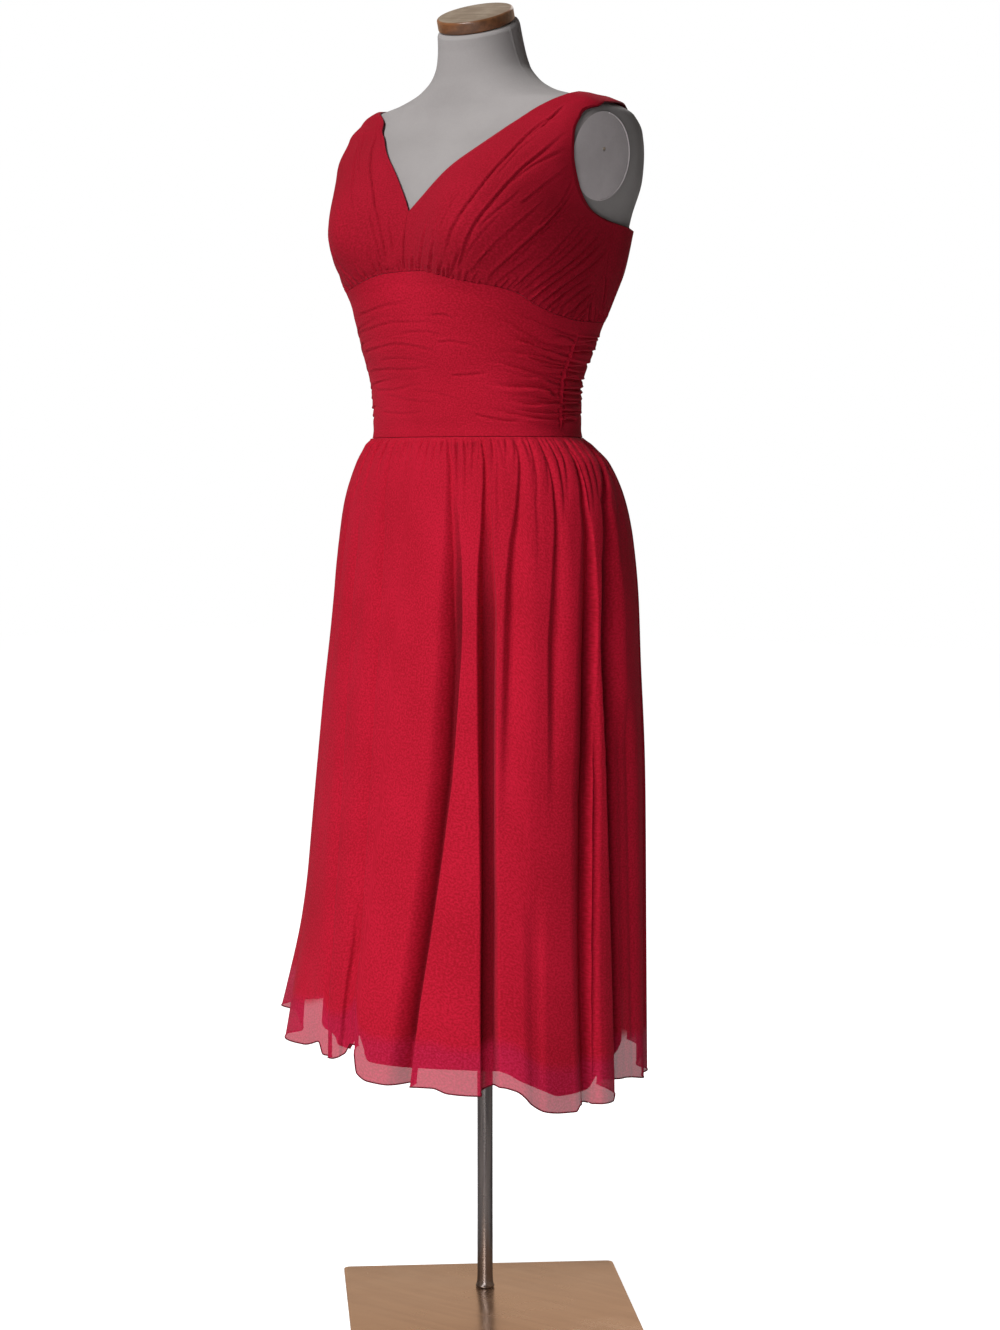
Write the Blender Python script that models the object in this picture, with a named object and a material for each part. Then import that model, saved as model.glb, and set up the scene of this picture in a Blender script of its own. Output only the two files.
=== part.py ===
"""Sleeveless a-line midi dress on a limbless dress form, with its pole and square base plate.

Run with: blender --background --python part.py
Frame: metres, +Z up, origin on the pole's axis at the underside of the base plate.
The front of the dress faces -Y, and the wearer's left is +X.
"""

import math
from collections import namedtuple

import bmesh
import bpy
from mathutils import Vector

CM = 0.01
MM = 0.001
GAP = 0.3 * MM  # clearance between pieces that meet

# Base and pole.
BASE_SIDE = 33.9 * CM
BASE_THICKNESS = 6 * MM
BASE_CORNER = 8 * MM
BASE_TURN = math.radians(45)  # the plate stands cornerwise to the form
POLE_FROM_BACK_EDGE = 10.4 * CM
POLE_RADIUS = 9.4 * MM
POLE_FOOT_RADIUS = 11.5 * MM
POLE_FOOT_HEIGHT = 9 * MM
POLE_IN_FORM = 6 * CM
SOCKET_DEPTH = 9 * CM

# Form.
FORM_BOTTOM = 70.0 * CM
FORM_TOP = 152.9 * CM
NECK_TILT = math.radians(20.5)  # the neck is cut off sloping down to the front
NECK_TILT_START = 148.0 * CM
CAP_RADIUS = 46 * MM
CAP_THICKNESS = 15 * MM
CAP_FORWARD = 2 * MM  # of the neck's middle
ARM_PLATE_THICKNESS = 2.2 * MM
ARM_PLATE_TILT = math.radians(8)
ARM_CUT = 17.5 * CM  # half width at which the arms are cut off, at ARM_PLATE_HEIGHT
ARM_PLATE_HEIGHT = 136.3 * CM
ARM_PLATE_MIDDLE = 0.2 * CM  # its Y
ARM_PLATE_HALF_DEPTH = 5.2 * CM
ARM_PLATE_HALF_HEIGHT = 5.1 * CM

# Cloth.
BODICE_THICKNESS = 1.6 * MM
SKIRT_THICKNESS = 1.2 * MM
EASE = 4.0 * MM  # from the form to the middle of the bodice cloth
SHOULDER_EASE = 3.0 * MM  # the same, on top of the shoulders
PLEAT_HEIGHT = 2.4 * MM
RUCHE_HEIGHT = 2.6 * MM
WAIST_SEAM = 104.0 * CM
LINING_INSIDE = 0.9 * MM  # of the waist seam's line; the overlay is as far outside it
HEM = 28.5 * CM

FORM_MATERIAL = ("form_cover", (0.42, 0.39, 0.38), 0.9, 0.0)
CAP_MATERIAL = ("cap_wood", (0.21, 0.09, 0.035), 0.45, 0.0)
STEEL_MATERIAL = ("brushed_steel", (0.42, 0.38, 0.34), 0.3, 1.0)
CHIFFON_MATERIAL = ("red_chiffon", (0.45, 0.006, 0.022), 0.75, 0.0)
LINING_MATERIAL = ("red_lining", (0.33, 0.004, 0.015), 0.5, 0.0)

# Level sections of the form, in centimetres. Front and back are the section's Y there, side the
# Y of its widest point, and the last two columns the power of its superellipse, 2 for an ellipse.
Section = namedtuple("Section", "height half_width front back side front_power back_power")
FORM_SECTIONS = [
    Section(70.0, 16.6, -12.4, 11.6, -0.4, 2.15, 2.15),  # bottom, below the hips
    Section(76.0, 17.2, -12.8, 12.8, -0.2, 2.15, 2.15),
    Section(85.0, 17.3, -12.9, 13.2, -0.2, 2.15, 2.15),  # hips
    Section(93.0, 16.2, -12.6, 12.0, -0.8, 2.15, 2.15),
    Section(100.0, 14.2, -11.7, 9.8, -1.6, 2.15, 2.15),
    Section(106.0, 12.8, -10.8, 8.4, -2.0, 2.15, 2.15),  # waist
    Section(110.0, 13.0, -11.1, 8.4, -2.0, 2.15, 2.15),
    Section(115.0, 14.1, -12.4, 9.7, -1.0, 2.25, 2.25),
    Section(120.0, 15.0, -13.2, 11.4, 0.8, 2.4, 2.4),
    Section(125.0, 15.8, -13.4, 12.8, 3.0, 2.6, 2.5),  # bust
    Section(130.0, 16.4, -12.8, 13.6, 3.4, 3.0, 2.7),
    Section(134.5, 17.6, -11.2, 14.4, 2.0, 3.4, 3.1),
    Section(137.4, 17.9, -9.3, 14.5, 1.2, 4.0, 3.2),
    Section(140.0, 18.0, -7.0, 14.0, 0.8, 4.0, 3.2),  # shoulder blades, top of the chest
    Section(141.8, 17.9, -6.1, 12.6, 0.4, 2.6, 3.0),
    Section(143.2, 16.2, -5.9, 9.6, 0.0, 2.2, 2.5),  # shoulders
    Section(143.9, 12.7, -5.9, 8.2, 0.0, 2.1, 2.2),
    Section(145.2, 8.7, -5.9, 7.1, 0.0, 2.0, 2.1),
    Section(146.6, 6.6, -5.8, 6.3, 0.0, 2.0, 2.0),
    Section(148.0, 5.6, -5.8, 5.4, -0.2, 2.0, 2.0),  # neck
    Section(149.65, 5.2, -5.8, 4.6, -0.5, 2.0, 2.0),
    Section(152.25, 4.9, -6.0, 3.8, -1.0, 2.0, 2.0),
    Section(154.5, 4.75, -6.2, 3.2, -1.5, 2.0, 2.0),
]

# Level sections of the skirt's overlay halfway up its folds, in centimetres.
SKIRT_SECTIONS = [
    Section(28.0, 20.8, -22.8, 16.4, -2.5, 2.0, 2.0),
    Section(38.0, 20.6, -22.0, 16.5, -2.3, 2.0, 2.0),
    Section(46.0, 20.3, -20.6, 16.6, -1.9, 2.0, 2.0),
    Section(56.0, 20.0, -19.0, 16.6, -1.4, 2.0, 2.0),
    Section(65.5, 19.8, -17.7, 16.5, -0.9, 2.0, 2.0),
    Section(75.0, 19.5, -16.7, 16.1, -0.5, 2.0, 2.0),
    Section(85.0, 19.1, -15.5, 15.5, -0.2, 2.05, 2.05),
    Section(92.0, 18.4, -14.4, 14.6, -0.2, 2.1, 2.1),
    Section(97.0, 17.4, -13.6, 13.5, -0.5, 2.15, 2.15),
    Section(101.0, 15.8, -12.7, 12.1, -1.0, 2.15, 2.15),
    Section(103.2, 14.2, -12.1, 9.8, -1.6, 2.15, 2.15),
    Section(104.0, 13.62, -11.73, 9.03, -1.93, 2.15, 2.15),
]

# Bust of the form: two soft mounds, in centimetres.
Mound = namedtuple("Mound", "across height depth width above below")
BUST = Mound(across=9.8, height=127.6, depth=3.8, width=6.4, above=7.5, below=6.5)

# Empire seam: angle from the centre front to either side, in degrees, and height in centimetres.
SeamPoint = namedtuple("SeamPoint", "angle height")
EMPIRE_SEAM = [
    SeamPoint(0, 123.2),
    SeamPoint(11, 123.1),
    SeamPoint(19, 122.7),
    SeamPoint(30, 122.0),
    SeamPoint(45, 121.2),
    SeamPoint(54, 120.4),
    SeamPoint(62, 119.2),
    SeamPoint(75, 118.0),
    SeamPoint(90, 117.5),  # side seam
    SeamPoint(135, 118.2),
    SeamPoint(180, 118.6),  # centre back
]

# Edges of the bodice, from the empire seam to the shoulder. Row is how far up the panel a point
# lies, from 0 to 1; the angle is from the centre front to the side, 90 degrees, and the centre back,
# 180 degrees; the height is in centimetres. Each edge turns a corner at its first point.
EdgePoint = namedtuple("EdgePoint", "row angle height")
FRONT_OPENING_LEFT = [
    EdgePoint(0.24, 0.0, 129.85),  # point of the V
    EdgePoint(0.33, 6.5, 131.2),
    EdgePoint(0.48, 21.0, 134.4),
    EdgePoint(0.62, 37.4, 137.0),
    EdgePoint(0.75, 54.5, 139.75),
    EdgePoint(0.88, 69.0, 141.9),
    EdgePoint(0.92, 75.5, 142.75),
    EdgePoint(0.97, 83.0, 143.5),
    EdgePoint(1.00, 90.0, 143.9),  # on the shoulder seam
]
FRONT_OPENING_RIGHT = [
    EdgePoint(0.24, 0.0, 129.85),
    EdgePoint(0.33, 3.6, 131.5),
    EdgePoint(0.48, 14.5, 134.5),
    EdgePoint(0.62, 32.0, 137.3),
    EdgePoint(0.75, 51.5, 139.95),
    EdgePoint(0.88, 66.0, 142.4),
    EdgePoint(0.92, 73.0, 143.2),
    EdgePoint(0.97, 83.0, 143.75),
    EdgePoint(1.00, 90.0, 143.9),
]
FRONT_ARMHOLE = [
    EdgePoint(0.33, 90.0, 128.95),  # underarm
    EdgePoint(0.42, 83.0, 129.4),
    EdgePoint(0.50, 76.0, 130.4),
    EdgePoint(0.60, 71.0, 132.8),
    EdgePoint(0.70, 69.7, 135.6),
    EdgePoint(0.80, 71.3, 138.2),
    EdgePoint(0.90, 77.0, 140.7),
    EdgePoint(1.00, 90.0, 142.3),  # on the shoulder seam
]
BACK_OPENING = [
    EdgePoint(0.62, 180.0, 131.5),  # point of the back's shallower V
    EdgePoint(0.66, 171.5, 132.7),
    EdgePoint(0.71, 160.0, 134.9),
    EdgePoint(0.77, 153.0, 137.4),
    EdgePoint(0.83, 147.0, 140.0),
    EdgePoint(0.90, 137.0, 142.0),
    EdgePoint(0.95, 121.0, 143.5),
    EdgePoint(0.98, 104.0, 143.85),
    EdgePoint(1.00, 90.0, 143.9),
]
BACK_ARMHOLE = [
    EdgePoint(0.33, 90.0, 128.95),
    EdgePoint(0.42, 102.0, 128.6),
    EdgePoint(0.50, 113.0, 128.5),
    EdgePoint(0.58, 126.0, 130.0),
    EdgePoint(0.67, 135.5, 133.6),
    EdgePoint(0.78, 138.5, 137.4),
    EdgePoint(0.87, 133.5, 140.6),
    EdgePoint(0.93, 121.0, 142.3),
    EdgePoint(0.97, 106.0, 142.6),
    EdgePoint(1.00, 90.0, 142.3),
]
BODICE_ROWS = (0.0, 0.08, 0.16, 0.24, 0.33, 0.38, 0.43, 0.50, 0.56, 0.62, 0.67, 0.72, 0.78, 0.83, 0.87, 0.90, 0.93, 0.97, 1.0)
BODICE_COLUMNS = 13  # odd, so that a pleat's crest lies on neither edge

MIDRIFF_ROWS = 11
MIDRIFF_COLUMNS = 12  # on each side of the centre

# Largest folds of the skirt: where each crest lies at the hem, in degrees from the centre front
# towards the wearer's left, how far to either side it reaches, how far it drifts from the waist, how
# far it stands out, and how much further it kicks out just above the hem, in millimetres.
Fold = namedtuple("Fold", "angle width drift height flare")
FOLDS = [
    Fold(-172, 9, 4, 9, 3),
    Fold(-152, 10, 3, 11, 4),
    Fold(-131, 9, -2, 9, 3),
    Fold(-112, 10, -4, 12, 5),
    Fold(-89, 11, -3, 10, 6),
    Fold(-63, 12, -8, 12, 22),
    Fold(-36, 13, -4, 11, 13),
    Fold(-9, 8, 3, 8, 2),
    Fold(12, 10, 5, 9, 2),
    Fold(33, 10, 5, 10, 3),
    Fold(58, 13, 3, 14, 5),
    Fold(77, 5, 1, 8, 4),
    Fold(85, 6, 2, 11, 5),
    Fold(99, 9, 2, 10, 2),
    Fold(116, 10, 4, 10, 1),
    Fold(134, 9, 3, 9, 1),
    Fold(151, 9, -3, 11, 4),
    Fold(169, 9, -4, 10, 3),
]
FLARE_REACH = 0.26  # of the skirt's length, up from the hem
FOLD_DEPTH = 5 * MM  # of the valleys below the skirt's section, at the hem
OVERLAY_COLUMNS = 48  # in each panel
OVERLAY_HEIGHTS = (1.0, 0.955, 0.90, 0.80, 0.62, 0.42, 0.22, 0.08, 0.0)
LINING_COLUMNS = 24
LINING_HEIGHTS = (1.0, 0.95, 0.88, 0.72, 0.45, 0.0)
LINING_CLEARANCE = 3.5 * MM  # inside the overlay's valleys

# Heights of the two hems above the skirt's lowest level, in millimetres, round the skirt. Both step
# up or down where one fold lies in front of the next.
HemPoint = namedtuple("HemPoint", "angle rise")
HEM_LINE = [
    HemPoint(-180, 32),
    HemPoint(-120, 54),
    HemPoint(-80, 66),
    HemPoint(-64, 63),
    HemPoint(-51.5, 65),
    HemPoint(-46.5, 46),
    HemPoint(-38, 42),
    HemPoint(-27, 41),
    HemPoint(-22, 45),
    HemPoint(-18.3, 49),
    HemPoint(-16, 35),
    HemPoint(-10, 34.5),
    HemPoint(-5.4, 41),
    HemPoint(-3.6, 53),
    HemPoint(0.6, 53),
    HemPoint(2.8, 23),
    HemPoint(7, 16),
    HemPoint(20, 14.5),
    HemPoint(29, 15.5),
    HemPoint(33.5, 10),
    HemPoint(42, 7.5),
    HemPoint(46.5, 14),
    HemPoint(50, 17.5),
    HemPoint(54, 13),
    HemPoint(58.5, -3),
    HemPoint(62.5, -12),
    HemPoint(69, -17),
    HemPoint(74, -18),
    HemPoint(75.6, -12),
    HemPoint(88.5, -13),
    HemPoint(91.5, 3),
    HemPoint(101, 4.5),
    HemPoint(113, -2),
    HemPoint(122, 2),
    HemPoint(140, 22),
    HemPoint(180, 32),
]
LINING_HEM_LINE = [
    HemPoint(-180, 60),
    HemPoint(-120, 80),
    HemPoint(-80, 94),
    HemPoint(-50, 88),
    HemPoint(-22, 72),
    HemPoint(-17, 62),
    HemPoint(-14, 47),
    HemPoint(-6, 50),
    HemPoint(-2, 68),
    HemPoint(1, 64),
    HemPoint(5, 33),
    HemPoint(30, 33),
    HemPoint(50, 33),
    HemPoint(58, 22),
    HemPoint(66, 8),
    HemPoint(74, -2),
    HemPoint(86, 2),
    HemPoint(93, 22),
    HemPoint(100, 33),
    HemPoint(120, 40),
    HemPoint(180, 60),
]


def clear_scene():
    for obj in list(bpy.data.objects):
        bpy.data.objects.remove(obj, do_unlink=True)


def material(name, colour, roughness, metallic):
    found = bpy.data.materials.get(name)
    if found:
        return found
    made = bpy.data.materials.new(name)
    made.use_nodes = True
    shader = made.node_tree.nodes["Principled BSDF"]
    shader.inputs["Base Color"].default_value = (*colour, 1)
    shader.inputs["Roughness"].default_value = roughness
    shader.inputs["Metallic"].default_value = metallic
    made.diffuse_color = (*colour, 1)
    return made


def curve_at(rows, key, place):
    """Each column of a table at one place of its key column, on a smooth curve that never overshoots."""
    places = [getattr(row, key) for row in rows]
    place = min(max(place, places[0]), places[-1])
    last = len(rows) - 2
    at = next((i for i in range(last) if place < places[i + 1]), last)

    def slope(i, column):
        before, after = rows[max(i - 1, 0)], rows[min(i + 1, len(rows) - 1)]
        here = rows[i]
        steps = []
        for a, b in ((before, here), (here, after)):
            if getattr(b, key) != getattr(a, key):
                steps.append((b[column] - a[column]) / (getattr(b, key) - getattr(a, key)))
        if len(steps) == 1:
            return steps[0]
        return 2 * steps[0] * steps[1] / (steps[0] + steps[1]) if steps[0] * steps[1] > 0 else 0.0

    width = places[at + 1] - places[at]
    s = (place - places[at]) / width
    values = []
    for column in range(len(rows[0])):
        start, end = rows[at][column], rows[at + 1][column]
        values.append(
            (1 + 2 * s) * (1 - s) ** 2 * start
            + s * (1 - s) ** 2 * width * slope(at, column)
            + s * s * (3 - 2 * s) * end
            + s * s * (s - 1) * width * slope(at + 1, column)
        )
    return type(rows[0])(*values)


def section_at(sections, height):
    """The section at a height in metres, with its sizes in metres."""
    row = curve_at(sections, "height", height / CM)
    return Section(*(value * CM for value in row[:5]), *row[5:])


def on_section(section, angle):
    """X and Y of a section's outline at an angle about its side line: 0 is +X and 90 degrees the back."""
    across, along = math.cos(angle), math.sin(angle)
    depth = section.back - section.side if along > 0 else section.side - section.front
    power = section.back_power if along > 0 else section.front_power
    reach = (abs(across / section.half_width) ** power + abs(along / depth) ** power) ** (-1 / power)
    return reach * across, section.side + reach * along


def bust_depth(x, y, height):
    x, y, height = abs(x) / CM, y / CM, height / CM
    reach = BUST.above if height > BUST.height else BUST.below
    towards_front = min(1.0, max(0.0, (2 - y) / 8))
    spread = ((x - BUST.across) / BUST.width) ** 2 + ((height - BUST.height) / reach) ** 2
    return BUST.depth * CM * math.exp(-spread) * towards_front


def form_point(angle, height):
    x, y = on_section(section_at(FORM_SECTIONS, height), angle)
    return Vector((x, y - bust_depth(x, y, height), height))


def surface_normal(surface, angle, height):
    step = 0.001
    round_it = surface(angle + step, height) - surface(angle - step, height)
    up_it = surface(angle, height + step) - surface(angle, height - step)
    return round_it.cross(up_it).normalized()


def add_mesh(name, points, faces, look, smooth=True):
    """One closed body from points and faces, its faces turned outwards."""
    mesh = bpy.data.meshes.new(name)
    shape = bmesh.new()
    corners = [shape.verts.new(point) for point in points]
    for face in faces:
        shape.faces.new([corners[i] for i in face])
    bmesh.ops.recalc_face_normals(shape, faces=shape.faces)
    shape.to_mesh(mesh)
    shape.free()
    mesh.materials.append(material(*look))
    if smooth:
        mesh.shade_smooth()
        mesh.set_sharp_from_angle(angle=math.radians(50))
    obj = bpy.data.objects.new(name, mesh)
    bpy.context.scene.collection.objects.link(obj)
    return obj


def cloth_wall(name, grid, thickness, look):
    """A closed wall of cloth from rows of (middle point, normal), open round all four edges."""
    rows, columns = len(grid), len(grid[0])
    points = [point + normal * thickness / 2 for row in grid for point, normal in row]
    points += [point - normal * thickness / 2 for row in grid for point, normal in row]
    inner = rows * columns

    def at(row, column):
        return row * columns + column

    faces = []
    for row in range(rows - 1):
        for column in range(columns - 1):
            a, b = at(row, column), at(row, column + 1)
            c, d = at(row + 1, column + 1), at(row + 1, column)
            # Both sides are split along the same diagonal, the shorter one, so that they stay apart.
            if (points[a] - points[c]).length <= (points[b] - points[d]).length:
                halves = ((a, b, c), (a, c, d))
            else:
                halves = ((a, b, d), (b, c, d))
            for half in halves:
                faces.append(half)
                faces.append(tuple(inner + i for i in reversed(half)))
    rim = [at(0, column) for column in range(columns)]
    rim += [at(row, columns - 1) for row in range(1, rows)]
    rim += [at(rows - 1, column) for column in range(columns - 2, -1, -1)]
    rim += [at(row, 0) for row in range(rows - 2, 0, -1)]
    for here, after in zip(rim, rim[1:] + rim[:1]):
        faces.append((after, here, inner + here, inner + after))
    return add_mesh(name, points, faces, look)


def lofted(name, rings, look):
    """A closed body from rings of points, with a flat face on the first and the last ring."""
    count = len(rings[0])
    points = [point for ring in rings for point in ring]
    faces = [tuple(range(count)), tuple((len(rings) - 1) * count + i for i in range(count))]
    for ring in range(len(rings) - 1):
        for i in range(count):
            after = (i + 1) % count
            low, high = ring * count, (ring + 1) * count
            faces.append((low + i, low + after, high + after, high + i))
    return add_mesh(name, points, faces, look)


def circle(radius, height, count, centre=(0.0, 0.0)):
    ring = []
    for i in range(count):
        angle = 2 * math.pi * i / count
        ring.append(Vector((centre[0] + radius * math.cos(angle), centre[1] + radius * math.sin(angle), height)))
    return ring


# Base, pole and form.


def make_base_plate():
    """A square plate with rounded corners. The pole stands near the middle of its back edge."""
    half = BASE_SIDE / 2
    middle = Vector((0.0, POLE_FROM_BACK_EDGE - half))
    steps = 5
    outline = []
    for corner in range(4):
        sign = Vector(((1, -1, -1, 1)[corner], (1, 1, -1, -1)[corner]))
        for step in range(steps + 1):
            angle = math.radians(90 * corner + 90 * step / steps)
            arc = Vector((math.cos(angle), math.sin(angle))) * BASE_CORNER
            outline.append(middle + sign * (half - BASE_CORNER) + arc)
    rings = []
    for height in (0.0, BASE_THICKNESS):
        ring = []
        for point in outline:
            x = point.x * math.cos(BASE_TURN) - point.y * math.sin(BASE_TURN)
            y = point.x * math.sin(BASE_TURN) + point.y * math.cos(BASE_TURN)
            ring.append(Vector((x, y, height)))
        rings.append(ring)
    return lofted("base_plate", rings, STEEL_MATERIAL)


def make_pole():
    """A round pole with a turned foot where it meets the plate."""
    bottom = BASE_THICKNESS + GAP
    profile = [
        (POLE_FOOT_RADIUS, bottom),
        (POLE_FOOT_RADIUS, bottom + POLE_FOOT_HEIGHT * 0.4),
        (POLE_FOOT_RADIUS * 0.93, bottom + POLE_FOOT_HEIGHT * 0.8),
        (POLE_RADIUS, bottom + POLE_FOOT_HEIGHT),
        (POLE_RADIUS, FORM_BOTTOM + POLE_IN_FORM),
    ]
    return lofted("pole", [circle(radius, height, 24) for radius, height in profile], STEEL_MATERIAL)


def neck_cut(point):
    """Leans the top of the neck into its sloping cut."""
    share = max(0.0, point.z - NECK_TILT_START) / (FORM_TOP - NECK_TILT_START)
    centre = section_at(FORM_SECTIONS, FORM_TOP)
    middle = (centre.front + centre.back) / 2
    return Vector((point.x, point.y, point.z + share * (point.y - middle) * math.tan(NECK_TILT)))


def arm_cut_at(height):
    return ARM_CUT + (height - ARM_PLATE_HEIGHT) * math.tan(ARM_PLATE_TILT)


def make_form_torso():
    """The torso and neck in one, cut flat at the arms, with a socket below for the pole."""
    count = 44
    heights = [70.0, 76.0, 82.0, 88.0, 94.0, 99.0, 103.0, 107.0, 111.0, 115.0, 119.0, 122.0, 125.0, 127.5]
    heights += [130.0, 132.0, 134.0, 136.0, 138.0, 139.7, 141.0, 142.0, 142.9, 143.5, 144.2, 145.0, 145.9]
    heights += [146.9, 148.2, 149.8, 151.6, FORM_TOP / CM]
    socket = POLE_RADIUS + GAP
    rings = [circle(socket, FORM_BOTTOM + SOCKET_DEPTH, count), circle(socket, FORM_BOTTOM, count)]
    for height in heights:
        height *= CM
        ring = []
        for i in range(count):
            point = form_point(2 * math.pi * i / count, height)
            limit = arm_cut_at(height)
            point.x = min(max(point.x, -limit), limit)
            ring.append(neck_cut(point))
        rings.append(ring)
    return lofted("form_torso", rings, FORM_MATERIAL)


def make_neck_cap():
    """A round wooden cap, its edges eased, on the neck's sloping cut."""
    section = section_at(FORM_SECTIONS, FORM_TOP)
    neck_middle = (section.front + section.back) / 2
    seat = neck_cut(Vector((0.0, neck_middle - CAP_FORWARD, FORM_TOP)))
    upward = Vector((0.0, -math.sin(NECK_TILT), math.cos(NECK_TILT)))
    backward = Vector((0.0, math.cos(NECK_TILT), math.sin(NECK_TILT)))
    ease = 1 * MM
    profile = [
        (CAP_RADIUS - ease, GAP),
        (CAP_RADIUS, GAP + ease),
        (CAP_RADIUS, CAP_THICKNESS - ease),
        (CAP_RADIUS - ease, CAP_THICKNESS),
    ]
    rings = []
    for radius, rise in profile:
        flat = circle(radius, 0.0, 40)
        rings.append([seat + Vector((point.x, 0.0, 0.0)) + backward * point.y + upward * rise for point in flat])
    lofted("neck_cap", rings, CAP_MATERIAL)


def make_arm_plates():
    """Oval plates that close the cut arms, each leaning with its cut."""
    for side, name in ((1, "arm_plate_left"), (-1, "arm_plate_right")):
        outward = Vector((side * math.cos(ARM_PLATE_TILT), 0.0, -math.sin(ARM_PLATE_TILT)))
        upward = Vector((side * math.sin(ARM_PLATE_TILT), 0.0, math.cos(ARM_PLATE_TILT)))
        middle = Vector((side * ARM_CUT, ARM_PLATE_MIDDLE, ARM_PLATE_HEIGHT))
        rings = []
        for rise, size in ((GAP, 1.0), (ARM_PLATE_THICKNESS * 0.6, 1.0), (ARM_PLATE_THICKNESS, 0.965)):
            ring = []
            for i in range(36):
                angle = 2 * math.pi * i / 36
                depth = math.cos(angle) * ARM_PLATE_HALF_DEPTH * size
                climb = math.sin(angle) * ARM_PLATE_HALF_HEIGHT * size
                ring.append(middle + outward * rise + Vector((0.0, depth, 0.0)) + upward * climb)
            rings.append(ring)
        lofted(name, rings, FORM_MATERIAL)


# Bodice and midriff.


def from_front(angle):
    """An angle round the body as degrees from the centre front towards the wearer's left."""
    return (math.degrees(angle) + 270) % 360 - 180


def empire_height(angle):
    """Height of the empire seam at an angle round the body, in metres."""
    return curve_at(EMPIRE_SEAM, "angle", abs(from_front(angle))).height * CM


def edge_place(edge, row):
    """Angle from the centre front and height of a bodice panel's edge at a row, straight up to its corner."""
    corner = edge[0]
    if row < corner.row:
        start = empire_height(math.radians(corner.angle - 90))
        return math.radians(corner.angle), start + (corner.height * CM - start) * row / corner.row
    found = curve_at(edge, "row", row)
    return math.radians(found.angle), found.height * CM


def smooth_step(value):
    value = min(max(value, 0.0), 1.0)
    return value * value * (3 - 2 * value)


def bodice_ease(row):
    return EASE + (SHOULDER_EASE - EASE) * smooth_step(row * 10 - 9)


def bodice_grid(opening, armhole, side):
    """Rows of (point, normal) for one half of the front or back, from the centre to the side."""
    back = opening is BACK_OPENING
    seam = GAP / 2 if back else -GAP / 2
    grid = []
    for row in BODICE_ROWS:
        inner_angle, inner_height = edge_place(opening, row)
        outer_angle, outer_height = edge_place(armhole, row)
        line = []
        for column in range(BODICE_COLUMNS):
            u = column / (BODICE_COLUMNS - 1)
            angle = inner_angle + (outer_angle - inner_angle) * u - math.pi / 2
            height = inner_height + (outer_height - inner_height) * u
            if row == 0.0:
                height = empire_height(angle) + GAP / 2
            normal = surface_normal(form_point, angle, height)
            point = form_point(angle, height) + normal * bodice_ease(row)
            if column % 2 == 1:
                pleat = PLEAT_HEIGHT * (1 - 0.6 * smooth_step(row))
                point += normal * (pleat * 0.5 if back else pleat)
            if column == 0 and row <= opening[0].row:
                point.x = GAP / 2
            if row == 1.0 or (column == BODICE_COLUMNS - 1 and row <= armhole[0].row):
                point.y += seam
            line.append((Vector((side * point.x, point.y, point.z)), Vector((side * normal.x, normal.y, normal.z))))
        grid.append(line)
    return grid


def make_bodice():
    for side, suffix, opening in ((1, "left", FRONT_OPENING_LEFT), (-1, "right", FRONT_OPENING_RIGHT)):
        front = bodice_grid(opening, FRONT_ARMHOLE, side)
        cloth_wall("bodice_front_" + suffix, front, BODICE_THICKNESS, CHIFFON_MATERIAL)
        back = bodice_grid(BACK_OPENING, BACK_ARMHOLE, side)
        cloth_wall("bodice_back_" + suffix, back, BODICE_THICKNESS, CHIFFON_MATERIAL)


def midriff_grid(back):
    """Rows of (point, normal) from the waist seam to the empire seam, with folds lying across."""
    seam = GAP / 2
    grid = []
    for row in range(MIDRIFF_ROWS):
        v = row / (MIDRIFF_ROWS - 1)
        line = []
        for column in range(-MIDRIFF_COLUMNS, MIDRIFF_COLUMNS + 1):
            u = column / MIDRIFF_COLUMNS
            angle = math.radians(90 - 90 * u if back else -90 + 90 * u)
            low, high = WAIST_SEAM + GAP, empire_height(angle) - GAP
            height = low + (high - low) * v
            normal = surface_normal(form_point, angle, height)
            point = form_point(angle, height) + normal * EASE
            point.z -= normal.z * EASE * (1 - v)
            if row % 2 == 1:
                towards_side = 0.6 + 0.4 * abs(u)
                point += normal * RUCHE_HEIGHT * towards_side
            if abs(column) == MIDRIFF_COLUMNS:
                point.y += seam if back else -seam
            line.append((point, normal))
        grid.append(line)
    return grid


def make_midriff():
    cloth_wall("midriff_front", midriff_grid(False), BODICE_THICKNESS, CHIFFON_MATERIAL)
    cloth_wall("midriff_back", midriff_grid(True), BODICE_THICKNESS, CHIFFON_MATERIAL)


# Skirt.


def hem_height(line, angle):
    return HEM + curve_at(line, "angle", from_front(angle)).rise * MM


def fold_height(angle, down):
    """How far the folds stand out from the section, where down is 0 at the waist and 1 at the hem."""
    degrees = from_front(angle)
    grown = smooth_step(down * 1.4) ** 0.7
    kick = max(0.0, 1 - (1 - down) / FLARE_REACH) ** 2
    reach = -FOLD_DEPTH * grown
    for fold in FOLDS:
        crest = fold.angle - fold.drift * (1 - down)
        apart = abs((degrees - crest + 180) % 360 - 180)
        if apart < fold.width:
            out = (fold.height * MM + FOLD_DEPTH) * grown + fold.flare * MM * kick
            reach += out * math.cos(math.pi / 2 * apart / fold.width) ** 2
    return reach


def skirt_point(angle, height, outward):
    """A point on the skirt's section, moved outwards level."""
    section = section_at(SKIRT_SECTIONS, height)
    x, y = on_section(section, angle)
    step = 0.01
    x_after, y_after = on_section(section, angle + step)
    x_before, y_before = on_section(section, angle - step)
    normal = Vector((y_after - y_before, x_before - x_after, 0.0)).normalized()
    return Vector((x, y, height)) + normal * outward, normal


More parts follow.
